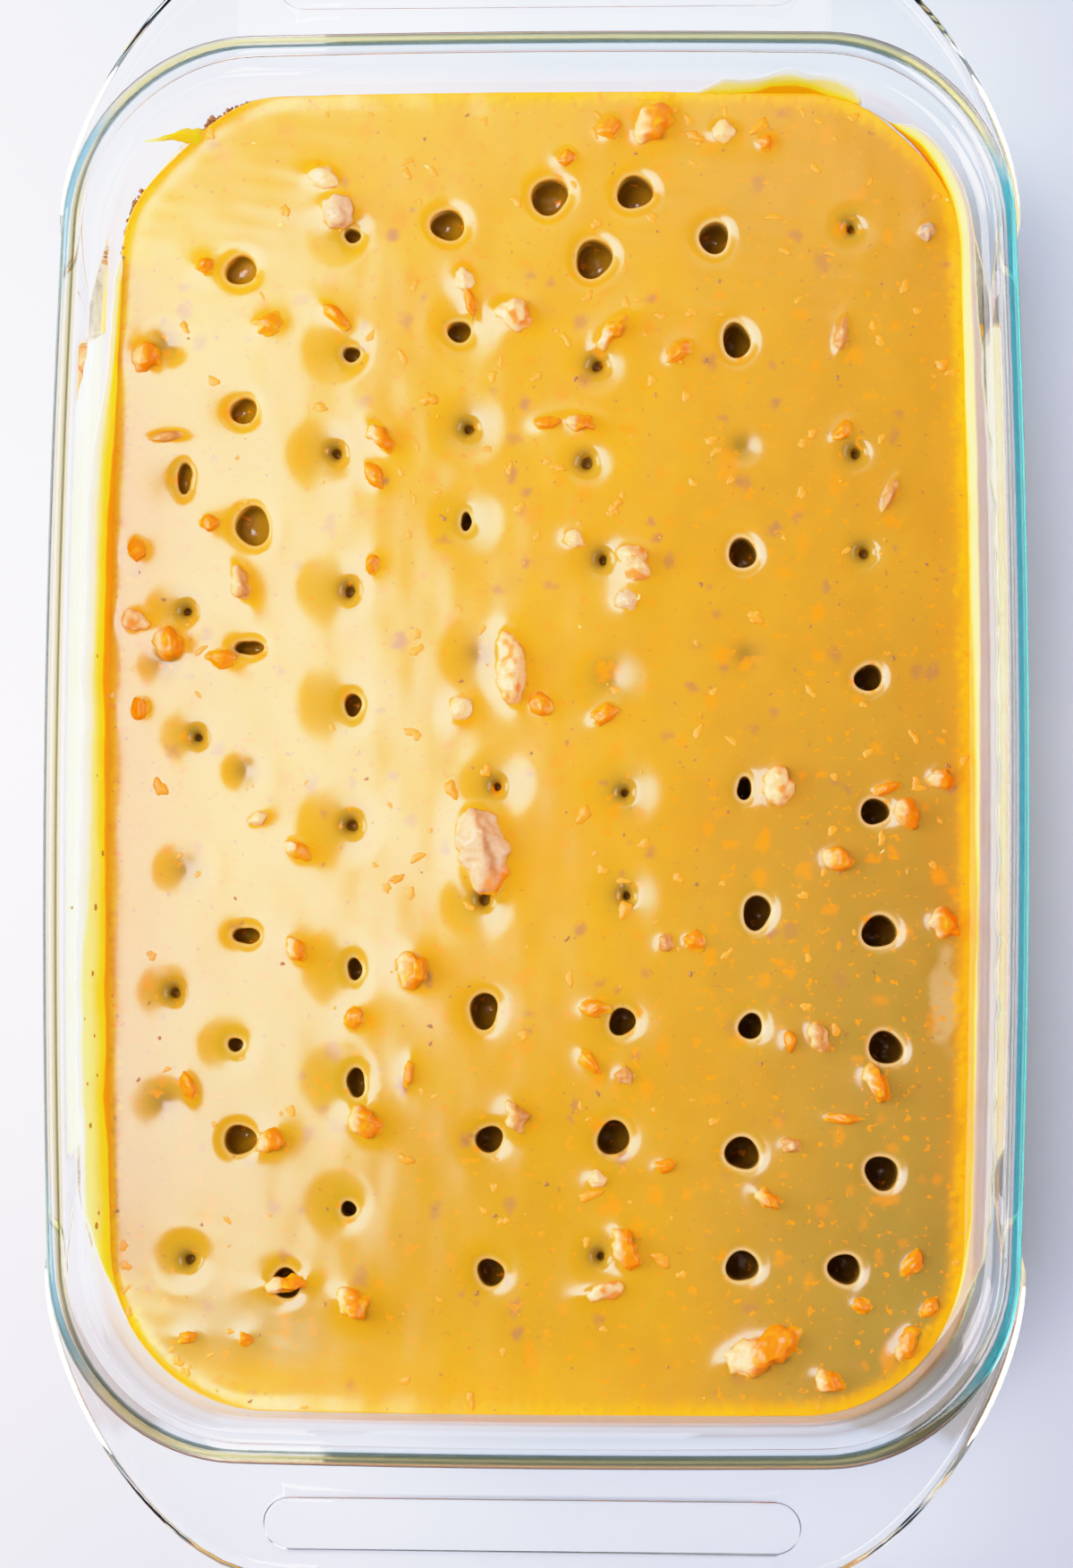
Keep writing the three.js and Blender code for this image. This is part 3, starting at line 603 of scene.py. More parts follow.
def glass_dish():
    dish = outward(closed_loft("glass_dish", dish_rings()), merge=True)
    for side in (1, -1):
        cutter = recess_cutter(side * RECESS_Y)
        cut = dish.modifiers.new("recess", "BOOLEAN")
        cut.object = cutter
        cut.solver = "EXACT"
        apply_modifiers(dish)
        bpy.data.objects.remove(cutter)
    paint(dish, rim_tints_and_reflections(positions(dish)))
    weigh = dish.modifiers.new("flat_faces_first", "WEIGHTED_NORMAL")
    weigh.keep_sharp = True
    weigh.weight = 60
    return dish


# Heights of the sauce
def cad_level(x, y):
    return 41 + 0.9 * x / 118 + 0.45 * np.sin(x / 29 + 0.8) * np.cos(y / 37 + 0.3)


def mouth_radius(angle, hole):
    """Radius of a hole's mouth, which is a little uneven."""
    half_width = max(hole.width, 1.6) / 2
    half_length = max(hole.length, 1.6) / 2
    even = half_width * half_length / np.hypot(half_length * np.cos(angle), half_width * np.sin(angle))
    uneven = 0.06 * np.sin(2 * angle + hole.number) + 0.045 * np.sin(3 * angle + 2.3 * hole.number)
    return even * (1 + uneven)


def hole_distance(x, y, hole):
    """Distance from the edge of a hole's mouth."""
    along = x - hole.x
    across = y - hole.y
    return np.hypot(along, across) - mouth_radius(np.arctan2(across, along), hole)


def hole_ring(hole, radius, angles):
    """Points (x, y) round the middle of a hole."""
    return np.column_stack((hole.x + radius * np.cos(angles), hole.y + radius * np.sin(angles)))


def is_open(hole):
    """True for a hole that shows its depth, and not for a pinprick or a closed one."""
    return max(hole.width, hole.length) >= 3.5


def dent(x, y, hole):
    """Share of the way from the middle of a hole's dent to its edge, longer on the side of its offset."""
    along = x - hole.x
    across = y - hole.y
    far = np.hypot(along, across)
    offset_x = hole.dent_x - (2.5 if hole.x < -30 else 0)
    size = math.hypot(offset_x, hole.dent_y)
    if size < 0.1:
        return far / hole.dent_radius
    toward = (along * offset_x + across * hole.dent_y) / (size * np.maximum(far, 0.01))
    return far / (hole.dent_radius * (1 + 0.075 * min(size, 6) * toward))


def turned(x, y, item):
    """Coordinates along and across a candy piece."""
    return rotate(x - item.x, y - item.y, -math.radians(item.turn))


def size_share(along, across, item):
    """Distance from the middle of a candy piece, 1 at its edge."""
    return np.hypot(along / (item.length / 2), across / (item.width / 2))


def beside(x, y, item):
    """Rough distance from a candy piece's edge, less than 0 inside it."""
    along, across = turned(x, y, item)
    return np.hypot(along, across) * (1 - 1 / np.maximum(size_share(along, across, item), 0.05))


def around(item, offset):
    """Points (x, y) round a candy piece at an offset from its edge."""
    angles = np.linspace(0, TURN, int(10 + 1.6 * item.length), endpoint=False)
    along = (item.length / 2 + offset) * np.cos(angles)
    across = (item.width / 2 + offset) * np.sin(angles)
    return np.column_stack(rotate(along, across, math.radians(item.turn))) + (item.x, item.y)


def edge_distance(x, y, border):
    """Distance from the sauce's edge, measured to the border's segments."""
    leg = np.roll(border, -1, axis=0) - border
    square = (leg**2).sum(axis=1)
    result = np.empty(len(x))
    batch = 4000
    for first in range(0, len(x), batch):
        part = slice(first, first + batch)
        away_x = x[part, None] - border[:, 0]
        away_y = y[part, None] - border[:, 1]
        share = np.clip((away_x * leg[:, 0] + away_y * leg[:, 1]) / square, 0, 1)
        gap = np.hypot(away_x - share * leg[:, 0], away_y - share * leg[:, 1])
        result[part] = gap.min(axis=1)
    return result


def sauce_height(x, y, edge):
    z = cad_level(x, y)
    z += 0.10 * ripple(x, y, 46, 3) + 0.052 * ripple(x, y, 17, 5) + 0.016 * ripple(x, y, 7, 8)
    z += 0.5 * np.exp(-edge / 1.4) * smoothstep(30, -40, x)
    for hole in HOLES:
        near = (np.abs(x - hole.x) < DENT_REACH) & (np.abs(y - hole.y) < DENT_REACH)
        far = dent(x[near], y[near], hole) / 1.2
        z[near] -= 0.62 * hole.dent_depth * np.maximum(1 - np.sqrt(far**2 + 0.015), 0) ** 1.3
        if hole.width:
            width, drop, power = (3.0, 0.5, 2) if is_open(hole) else (2.8, 1.7, 2.6)
            away = hole_distance(x[near], y[near], hole)
            z[near] -= drop * (1 - np.clip(away / width, 0, 1)) ** power
        if is_open(hole):
            last = np.clip(away / LIP_ROUNDING, 0, 1)
            z[near] -= LIP_ROUNDING * (1 - np.sqrt(1 - (1 - last) ** 2))
    for items, rise, spread, inward in ((CHUNKS, 0.8, 2.2, 2.0), (BITS, 0.5, 1.6, 1.5)):
        for item in items:
            z += rise * np.exp(-np.maximum(beside(x, y, item) + inward, 0) / spread)
    return z


def sauce_colour(x, y, edge):
    """Amber with stains of orange and brown bits under the surface and deeper at the glass, with painted shade
    in the dents, to the right and toward the near end, painted highlights on the lips of open holes and painted
    light along the left edge.
    """
    colour = blend(AMBER, AMBER_WARM, 0.6 * (0.5 + 0.5 * ripple(x, y, 60, 21)))
    mottle = smoothstep(0.1, 0.8, 0.5 + 0.5 * ripple(x, y, 13, 23) + 0.25 * ripple(x, y, 6, 24))
    colour = blend(colour, OLIVE_MOTTLE_AND_DENT_SHADE, 0.26 * mottle * smoothstep(-60, 0, x))
    # Painted shade: the sauce is darker and more olive to the right, most toward the near end, and a deeper
    # amber toward the near end away from the right
    right = smoothstep(-8, 82, x + 9 * ripple(x, y, 50, 22)) * smoothstep(0.5, 5, edge)
    low = smoothstep(60, -70, y)
    right_shade = right * (0.46 + 0.27 * low + 0.12 * smoothstep(-95, -125, y))
    colour = blend(colour, blend(OLIVE_SHADE, OLIVE_SHADE_LOW, low), right_shade)
    colour = blend(colour, AMBER_NEAR_END_SHADE, 0.85 * smoothstep(-20, -110, y) * smoothstep(-160, -140, y) * (1 - right))
    for hole in HOLES:
        # Painted shade: each dent is painted olive
        share = 0.85 * min(1, hole.dent_depth) * np.maximum(1 - dent(x, y, hole) ** 2, 0)
        colour = blend(colour, OLIVE_MOTTLE_AND_DENT_SHADE, share)
        if is_open(hole):
            # Painted highlight: a pale ring on the lip of each open hole, stronger on the right
            away = (hole_distance(x, y, hole) - 0.45) / 0.45
            colour = blend(colour, LIP_HIGHLIGHT, (0.5 if hole.x > 30 else 0.25) * np.exp(-(away**2)))
        else:
            # Painted shade: a darker halo in the middle of the dent round each pinprick or closed hole
            halo = np.hypot(x - hole.x + 0.8, y - hole.y - 0.6) / 3.1
            colour = blend(colour, DENT_MIDDLE_SHADE, 0.75 * np.exp(-(halo**2)))
    ghost = np.hypot((x - 98.5) / 3.4, (y + 61.5) / 12) + 0.3 * ripple(x, y, 8, 83)
    colour = blend(colour, GHOST, 0.4 * (1 - smoothstep(0.7, 1.1, ghost)))
    shade = np.hypot((x + 68) / 26, (y + 141) / 10) + 0.3 * ripple(x, y, 15, 84)
    colour = blend(colour, NEAR_SHADE, 0.6 * (1 - smoothstep(0.3, 1.2, shade)))
    dice = random.Random(77)
    uneven = ripple(x, y, 3.1, 81) + ripple(x, y, 1.9, 82)
    for _ in range(STAINS):
        spot_x = dice.uniform(-103, 103)
        spot_y = dice.uniform(-158, 158)
        size = dice.uniform(0.8, 2.2)
        stretch = dice.uniform(0.45, 1.6)
        stain = ORANGE_STAIN if dice.random() < 0.66 else BROWN_STAIN
        strength = dice.uniform(0.6, 1.0)
        if spot_x < -38:
            strength *= 0.8
        elif spot_x > 40 and spot_y < -60:
            strength *= 0.5
        near = (np.abs(x - spot_x) < 3 * size) & (np.abs(y - spot_y) < 3 * size)
        far = np.hypot((x[near] - spot_x) / size, (y[near] - spot_y) / (size * stretch))
        share = strength * (1 - smoothstep(0.55, 1.15, far + 0.35 * uneven[near]))
        colour[near] = blend(colour[near], stain, share)
    # Deeper amber at the glass; on the left, painted light makes the band lighter where the meniscus faces away
    # from the lamps
    rim = blend(AMBER_DEEP, AMBER_STREAK_AND_LIT_EDGE, smoothstep(0.5, 1.3, edge + 0.5 * uneven) * (x < -60))
    bare = 0.85 * smoothstep(105, 125, y) * smoothstep(-50, -75, x) + 0.45 * smoothstep(-135, -150, y)
    bank = edge + 1.4 * uneven + 1.0 * ripple(x, y, 16, 85)
    return blend(colour, rim, (1 - bare) * (1 - smoothstep(0.8, 3.6, bank)))


def hex_grid():
    """Points (x, y) of an even triangular grid over the whole sauce."""
    rows = int(2 * GRID_HALF_LENGTH / (GRID_STEP * GRID_ROW))
    row, step = np.indices((rows, int(2 * GRID_HALF_WIDTH / GRID_STEP)))
    x = -GRID_HALF_WIDTH + 0.5 * GRID_STEP * (row % 2) + step * GRID_STEP
    y = -GRID_HALF_LENGTH + row * GRID_STEP * GRID_ROW
    return np.column_stack((x.ravel(), y.ravel()))


def pulled_in(points):
    """How far the sauce's edge stands in from the wall: a little at the two far corners."""
    x, y = points.T
    far_left = np.exp(-(((x + 88) / 17) ** 2) - ((y - 148) / 17) ** 2)
    far_right = np.exp(-(((x - 90) / 14) ** 2) - ((y - 150) / 14) ** 2)
    return 3.6 * far_left + 1.6 * far_right


def sauce_border(z, extra=0.0):
    """The sauce's edge on the wall at a height, as points (x, y)."""
    start = outline(inner_inset(z), FINE_RING)
    inset = inner_inset(z) - REACH_INTO_WALL + pulled_in(start) + extra
    return outline(inset, FINE_RING)


def inside(points, border):
    """True for the points inside a convex border."""
    leg = np.roll(border, -1, axis=0) - border
    result = np.ones(len(points), dtype=bool)
    for start, way in zip(border, leg):
        result &= way[0] * (points[:, 1] - start[1]) - way[1] * (points[:, 0] - start[0]) > 0
    return result


def darkness(hole):
    """How deep and how darkly shaded a hole is, from 0 to 1: the ones to the near right hold the least sauce,
    so their pools lie deeper and are painted in deeper shade.
    """
    return min(1, max(0, 0.65 * (hole.x + 70) / 150 + 0.35 * (120 - hole.y) / 240))


def tube_rows(hole):
    """Share of the mouth's radius and depth under the mouth, down a hole to its pool of sauce."""
    if is_open(hole):
        pool = 4.5 + 11 * darkness(hole)
        shares = (0.985, 0.965, 0.95, 0.95, 0.95, 0.9, 0.7, 0.35)
        depths = (0.1, 0.2, 0.35, 0.55, 0.8, 0.97, 1.1, 1.19)
        return [(share, depth * pool) for share, depth in zip(shares, depths)]
    return ((0.97, 0.3), (0.92, 0.7), (0.84, 1.3), (0.72, 2.0), (0.55, 2.8), (0.35, 3.4))


def sauce_piece():
    """The sauce, open below where it lies on the sponge, with lipped holes that end in pools, painted in shade
    down each hole.
    """
    flat = [sauce_border(SAUCE_LEVEL, inward) for inward in (0.0, 0.3, 0.7, 1.3, 2.1)]
    grid = hex_grid()
    grid = grid[inside(grid, sauce_border(SAUCE_LEVEL, 3.0))]
    for item in CHUNKS + BITS:
        grid = grid[np.abs(beside(*grid.T, item)) > 2.1]
    offsets = (-1.6, -1.0, -0.5, 0.0, 0.5, 1.0, 1.6)
    rims = np.vstack([around(item, offset) for item in CHUNKS + BITS for offset in offsets])
    grid = np.vstack((grid, rims[inside(rims, sauce_border(SAUCE_LEVEL, 2.6))]))
    mouths = []
    for hole in POKES:
        angles = np.linspace(0, TURN, 30 if is_open(hole) else 22, endpoint=False)
        radius = mouth_radius(angles, hole)
        grid = grid[hole_distance(*grid.T, hole) > 3.7]
        mouths.append((hole, angles, radius, len(flat)))
        for offset in (0.0, 0.07, 0.18, 0.35, 0.6, 1.0, 1.6, 2.3, 3.1):
            flat.append(hole_ring(hole, radius + offset, angles))
    spots, triangles, places = triangulate([*flat, grid], [0] + [mouth[3] for mouth in mouths])
    middles = spots[triangles].mean(axis=1)
    keep = inside(middles, flat[0])
    for hole, angles, radius, _ in mouths:
        x, y = (middles - (hole.x, hole.y)).T
        limit = np.interp(np.arctan2(y, x) % TURN, [*angles, TURN], [*radius, radius[0]]) * 0.985
        keep &= np.hypot(x, y) >= limit
    x, y = spots.T
    edge = edge_distance(x, y, flat[0])
    top = at_height(spots, sauce_height(x, y, edge))
    colours = sauce_colour(x, y, edge)
    body = Body()
    body.add(top, colours, triangles[keep].tolist())
    foot = at_height(sauce_border(CAKE_TOP), CAKE_TOP)
    last = places[0]
    for share in (0.35, 0.7, 1.0):
        last = body.extend(last, blend(top[places[0]], foot, share), AMBER_DEEP)
    for hole, angles, radius, part in mouths:
        last = places[part]
        mouth_z = top[last, 2]
        mouth_colour = colours[last]
        slope = 1 + 0.06 * np.sin(angles + random.Random(400 + hole.number).uniform(0, TURN))
        # Painted shade: the walls turn olive and darker down each hole, toward a pool or pinprick painted
        # darker still
        pool = blend(POOL_SHADE_PALE, POOL_SHADE_DEEP, darkness(hole)) if is_open(hole) else PINPRICK_SHADE
        rows = tube_rows(hole)
        for share, depth in rows:
            out = radius * share * (1 + 0.03 * np.sin(angles * 3 + depth + hole.number))
            points = at_height(hole_ring(hole, out, angles), mouth_z - depth * slope)
            deep = smoothstep(0.3, 1.0, depth / rows[-1][1]) if is_open(hole) else smoothstep(0.2, 2.2, depth)
            shade = blend(mouth_colour, OLIVE_SHADE, smoothstep(0.0, 2.2, depth))
            last = body.extend(last, points, blend(shade, pool, deep))
        body.cap(last, (hole.x, hole.y, points[:, 2].mean() - 0.15), pool)
    return outward(body.build("amber_sauce"))


# Sponge
def sponge_piece():
    profile = arc(FLOOR_MIDDLE, FLOOR_RADIUS + REACH_INTO_WALL, 270, 192, 8)
    profile += [(inner_inset(z) - REACH_INTO_WALL, z) for z in (17, 20, 23, 26, 29, 32, 34.5, 36.2)]
    profile.append((inner_inset(CAKE_TOP) + 0.5, SPONGE_TOP))
    rings = [ring(inset, z) for inset, z in profile]
    body = Body()
    base, rim = body.loft(rings)
    body.cap(base, (0, 0, FLOOR_THICKNESS - REACH_INTO_WALL))
    flat = [rings[-1][:, :2]]
    angles = np.linspace(0, TURN, 16, endpoint=False)
    for hole in POKES:
        flat.append(hole_ring(hole, mouth_radius(angles, hole) + (0.4 if is_open(hole) else 0.1), angles))
    spots, triangles, places = triangulate(flat, range(len(flat)))
    fresh = np.setdiff1d(range(len(spots)), places[0])
    index = np.empty(len(spots), dtype=int)
    index[places[0]] = rim
    index[fresh] = body.add(at_height(spots[fresh], SPONGE_TOP))
    middles = spots[triangles].mean(axis=1)
    keep = np.all([hole_distance(*middles.T, hole) >= 0 for hole in POKES], axis=0)
    body.faces += index[triangles[keep]].tolist()
    for hole, mouth, part in zip(POKES, flat[1:], places[1:]):
        last = index[part].tolist()
        middle = (hole.x, hole.y)
        bottom = HOLE_BOTTOM if is_open(hole) else PINPRICK_BOTTOM
        for share, z in ((1.0, 33), (0.99, 28), (0.97, bottom + 3), (0.6, bottom + 0.6)):
            last = body.extend(last, at_height(middle + (mouth - middle) * share, z))
        body.cap(last, (*middle, bottom))
    sponge = outward(body.build("chocolate_sponge", painted=False))
    x, y, z = positions(sponge).T
    # Paler toward the top of the sponge
    paint(sponge, blend(CHOCOLATE, UPPER_PALE, smoothstep(20, 31, z + 2.5 * ripple(x, y, 21, 60))))
    return sponge


# Films of sauce on the glass
FILM_FOOT = 39.8
FILM_ROWS = 24

# Heights on the long sides at places y: where the film's amber part, its cream part and the film itself end
LEFT_AMBER = (
    (-150, 40.2), (-110, 40.8), (-98, 41.2), (-92, 43.0), (-86, 43.6), (-74, 41.4), (-60, 42.6), (-48, 41.6),
    (-22, 42.6), (4, 43.6), (17, 44.6), (30, 44.8), (56, 44.4), (69, 42.8), (82, 41.4), (105, 40.6),
    (122, 40.0),
)
LEFT_TOP = (
    (-160, 40.1), (-142, 40.6), (-132, 42.5), (-121, 50.0), (-113, 53.0), (-95, 53.4), (-55, 53.8),
    (-30, 53.4), (60, 53.0), (76, 51.6), (84, 49.0), (95, 46.6), (114, 45.0), (119, 42.6), (123, 39.8),
)
RIGHT_AMBER = (
    (-150, 40.3), (-135, 41.0), (-124, 43.0), (-115, 47.0), (-95, 47.6), (-80, 47.0), (-65, 46.0), (-50, 47.2),
    (-36, 47.8), (-24, 45.8), (15, 45.2), (32, 43.2), (60, 42.8), (85, 41.6), (108, 42.2), (134, 43.4),
    (147, 43.4), (152, 40.6),
)
RIGHT_CREAM = (
    (-155, 40.2), (-140, 41.5), (-126, 44.5), (-115, 47.6), (-48, 48.0), (-36, 48.4), (8, 48.8), (16, 49.6),
    (95, 49.6), (108, 49.0), (144, 48.8), (150, 46.0), (154, 40.6),
)
RIGHT_TOP = (
    (-158, 40.2), (-144, 42.0), (-132, 48.0), (-122, 53.6), (-100, 54.2), (50, 54.2), (85, 53.0), (112, 51.4),
    (138, 50.8), (147, 49.6), (151, 46.4), (154, 40.2),
)
# The same at the far end, at places x
FAR_TOP = (
    (-75, 40.2), (-60, 41.4), (-48, 41.0), (-30, 40.6), (20, 40.6), (38, 41.6), (42, 46.0), (45, 49.4),
    (50, 48.6), (54, 50.0), (58, 52.4), (61, 52.9), (65, 51.0), (72, 51.4), (77, 49.0), (80, 42.0),
)
FAR_AMBER = (
    (-75, 39.8), (38, 40.2), (47, 40.6), (53, 42.0), (57, 45.0), (63, 45.6), (67, 44.0), (71, 41.6), (80, 40.2),
)
# A streak at the far left corner, from the sauce's edge to its tip on the glass: x, y, z and half its width
STREAK = (
    (-82.0, 150.2, 38.6, 2.6), (-85.4, 151.0, 40.6, 2.3), (-88.6, 151.0, 42.2, 1.45),
    (-91.6, 150.3, 43.6, 1.0), (-94.4, 149.4, 46.0, 0.6), (-97.2, 148.0, 49.4, 0.1),
)
# Specks on the left film: place y, height and radius
WALL_SPECKS = (
    (-56, 49.6, 0.7), (-67, 52.4, 0.4), (-71, 48.9, 0.5), (-82.5, 51.8, 0.5), (-80.5, 47.4, 0.5),
    (-92.5, 51.0, 0.7), (-113.5, 47.8, 0.6), (-116.5, 49.2, 0.9), (-26.7, 43.6, 0.8), (-40, 48.0, 0.9),
    (-8, 47.5, 0.4), (21, 48.6, 0.5),
)

# The inner wall from below the sauce up to the bead: inset, height and the length up to each point
WALL_LINE = [(inner_inset(z), z) for z in np.arange(38.5, 48.0, 0.5)]
WALL_LINE += bend(14, BEAD[-1], FLARE_INSIDE, (INNER_INSET_AT_TOP, WALL_TOP))[::-1]
WALL_INSET, WALL_HEIGHT = np.transpose(WALL_LINE)
WALL_LENGTH = np.append(0, np.cumsum(np.hypot(np.diff(WALL_INSET), np.diff(WALL_HEIGHT))))


def film_strip(chosen, amber, cream, top, haze, flare, thickness, fade):
    """Points and colours of a film on the wall over the chosen part of the ring. All heights are z."""
    start, rich, pale, end = (np.interp(z, WALL_HEIGHT, WALL_LENGTH) for z in (FILM_FOOT, amber, cream, top))
    plan = FINE_RING[:, chosen]
    front = []
    back = []
    colours = []
    for share in np.arange(FILM_ROWS) / (FILM_ROWS - 1):
        up = start + np.maximum(end - start, 0) * share
        inset = np.interp(up, WALL_LENGTH, WALL_INSET)
        z = np.interp(up, WALL_LENGTH, WALL_HEIGHT)
        out = thickness * math.sqrt(1 - share**2) * np.clip((end - start) / 3, 0, 1) + 0.04
        front.append(ring(inset + out, z + 0.25 * out, plan))
        back.append(ring(inset + 0.02, z, plan))
        colour = blend(AMBER_DEEP, FILM_YELLOW, smoothstep(-0.5, 0.5, up - rich))
        colour = blend(colour, FILM_CREAM, smoothstep(*fade, up - rich))
        colour = blend(colour, haze, smoothstep(-0.6, 0.8, up - pale))
        colours.append(blend(colour, HAZE_FLARE, flare * smoothstep(48.5, 51.0, z)))
    tints = np.vstack(colours)
    return np.vstack(front + back), np.vstack((tints, blend(tints, FILM_BACK, 0.7)))


def shell_faces(rows, size):
    """Faces of a closed film whose front and back are grids of rows, the front first."""
    grid = np.arange(rows * size).reshape(rows, size)
    back = rows * size
    faces = []
    corners = (grid[:-1, :-1], grid[:-1, 1:], grid[1:, 1:], grid[1:, :-1])
    for a, b, c, d in np.stack(corners, axis=-1).reshape(-1, 4):
        faces += [(a, b, c, d), (a + back, d + back, c + back, b + back)]
    for line in (grid[0], grid[-1], grid[:, 0], grid[:, -1]):
        faces += [(a, b, b + back, a + back) for a, b in zip(line, line[1:])]
    return np.array(faces).tolist()


def streak_piece():
    """Points, colours and faces of the streak, a low ribbon that is thickest along its middle."""
    rows = 25
    size = 9
    middle = np.array(STREAK)
    stations = np.linspace(0, len(middle) - 1, rows)
    x, y, z, half = (np.interp(stations, np.arange(len(middle)), column) for column in middle.T)
    half = half * (1 + 0.12 * np.sin(stations * 4.1) + 0.08 * np.sin(stations * 9.3))
    x, y, z, half, along = (np.repeat(value, size) for value in (x, y, z, half, stations / stations[-1]))
    side = np.tile(np.linspace(-1, 1, size), rows)
    front = np.column_stack((x + 0.12 * side * half, y + side * half, z + 0.5 * half * (1 - side**2)))
    colours = blend(AMBER_STREAK_AND_LIT_EDGE, FILM_CREAM, smoothstep(0.55, 1.1, along))
    return np.vstack((front, front - (0, 0, 0.3))), np.vstack((colours, colours)), shell_faces(rows, size)


def film_pieces():
    """Thin films of sauce on the inner wall: up both long sides, and smears and a streak at the far end."""
    x, y = outline(12.0, FINE_RING).T
    order = np.arange(len(x))
    uneven = 0.35 * ripple(x, y, 23, 71) + 0.25 * ripple(x, y, 9, 72) + 0.12 * ripple(x, y, 4, 73)
    body = Body()

    def add(chosen, amber, cream, top, *look):
        rise = uneven[chosen] * np.clip((top - FILM_FOOT) / 6, 0, 1)
        points, tints = film_strip(chosen, amber + rise, cream + rise, top + rise, *look)
        body.add(points, tints, shell_faces(FILM_ROWS, len(chosen)))

    left = order[(x < -60) & (y < 125)]
    top = knots(y[left], LEFT_TOP)
    wide = smoothstep(-30, -58, y[left])
    drip = (1 + wide) * ripple(x[left], y[left], 17, 74)
    fade = (2.0 + 0.4 * wide + drip, 6.6 + 2.2 * wide + drip)
    add(left, knots(y[left], LEFT_AMBER), top - 3.0 + 2.2 * wide, top, FILM_CLEAR, 0, 0.35, fade)
    right = order[x > 60]
    right = right[np.argsort(np.arctan2(y[right], x[right] - 40))]
    haze = blend(HAZE, HAZE_FAR, smoothstep(70, 110, y[right]))
    heights = (knots(y[right], stops) for stops in (RIGHT_AMBER, RIGHT_CREAM, RIGHT_TOP))
    add(right, *heights, haze, 1, 0.35, (0.4, 2.4))
    far = order[(y > 100) & (x >= -75) & (x <= 80)]
    far = far[np.argsort(-x[far])]
    top = knots(x[far], FAR_TOP)
    add(far, knots(x[far], FAR_AMBER), top - 2.2, top, FILM_CLEAR, 0, 0.4, (1.0, 5.0))
    body.add(*streak_piece())
    return outward(body.build("sauce_film"))


# Candy
def noise_at(points, size, seed):
    """Blender's noise from -1 to 1 at each point, in millimetres."""
    shift = Vector((seed * 17.3, seed * 5.1, seed * 9.7))
    return np.array([noise.noise(Vector(p) / size + shift) for p in points])


def cell_edges(points, size, seed):
    """Broken facets: the nearest cell's distance from 0 at its middle to 1 far from it."""
    shift = Vector((seed * 7.3, seed * 3.1, seed * 1.7))
    return np.array([noise.voronoi(Vector(p) / size + shift)[0][0] for p in points])


def roughen(thing, seed, coarse):
    """A broken outline and flaky, uneven faces."""
    at = positions(thing)
    out = vertex_values(thing, "normal")
    flat = at * (1, 1, 0.4)
    sideways = 1.5 * noise_at(flat, 4.2, seed + 80) + 0.8 * noise_at(flat, 1.8, seed + 90)
    at += out * (1, 1, 0) * sideways[:, None]
    push = coarse * (0.45 - cell_edges(at, 3.8, seed)) + 0.6 * coarse * noise_at(at, 3.0, seed)
    push += 0.8 * coarse * (0.4 - cell_edges(at, 1.7, seed + 30))
    push += 0.06 * noise_at(at, 0.9, seed + 50)
    move(thing, at + out * push[:, None])


def roof(x, y, item):
    """Share of a candy piece's height: a long slope on its left, a ridge, a short fall and a rounded edge."""
    angle = math.radians(item.turn)
    reach = math.hypot(item.length / 2 * math.cos(angle), item.width / 2 * math.sin(angle))
    past = (x - item.x) / reach - 0.1
    slope = 1 - np.where(past < 0, -0.42 * past, 0.5 * past)
    return slope * (0.3 + 0.7 * smoothstep(1.08, 0.62, size_share(*turned(x, y, item), item)))


def candy_colour(thing, item):
    """Colours of a candy piece: its kind, its flakes, sauce at its foot and a painted sheen on its left side.
    """
    at = positions(thing)
    x, y, z = at.T
    along, across = turned(x, y, item)
    along = along / (item.length / 2)
    across = across / (item.width / 2)
    colour = CANDY[item.kind]
    patch = noise_at(at, 2.6, item.number + 200)
    if item.kind == "nut" and item.length > 20:
        ridge = np.exp(-(((across + 0.25 - 0.12 * patch) / 0.13) ** 2)) * smoothstep(-0.75, -0.4, along)
        colour = blend(colour, RIDGE, 0.8 * ridge)
        colour = blend(colour, CANDY["orange"], smoothstep(0.35, 0.75, -along + 0.25 * patch - 0.35 * across))
    elif item.kind == "orange":
        colour = blend(colour, ORANGE_LIGHT, 0.7 * smoothstep(0.0, 0.5, patch))
        colour = blend(colour, ORANGE_DARK, 0.5 * smoothstep(0.1, 0.5, noise_at(at, 1.6, item.number + 300)))
    elif item.kind == "pale":
        colour = blend(colour, CANDY["orange"], 0.85 * smoothstep(-0.05, 0.4, patch))
        colour = blend(colour, RIDGE, 0.5 * smoothstep(0.7, 0.95, -along + 0.3 * patch))
    elif item.kind == "toffee":
        colour = blend(colour, CANDY["pale"], 0.8 * smoothstep(0.0, 0.45, patch))
    if item.kind != "nut":
        # Painted highlight: the left side of each piece is pale, as if the window shone on its coat of sauce
        left = smoothstep(-0.1, -0.75, (x - item.x) / (0.5 * item.width) + 0.4 * patch)
        colour = blend(colour, PAINTED_LEFT_SHEEN, 0.75 * left)
    sauce = 1 - smoothstep(0.5, 1.3, z - cad_level(x, y) + 0.5 * patch)
    paint(thing, blend(colour, AMBER, 0.95 * sauce))


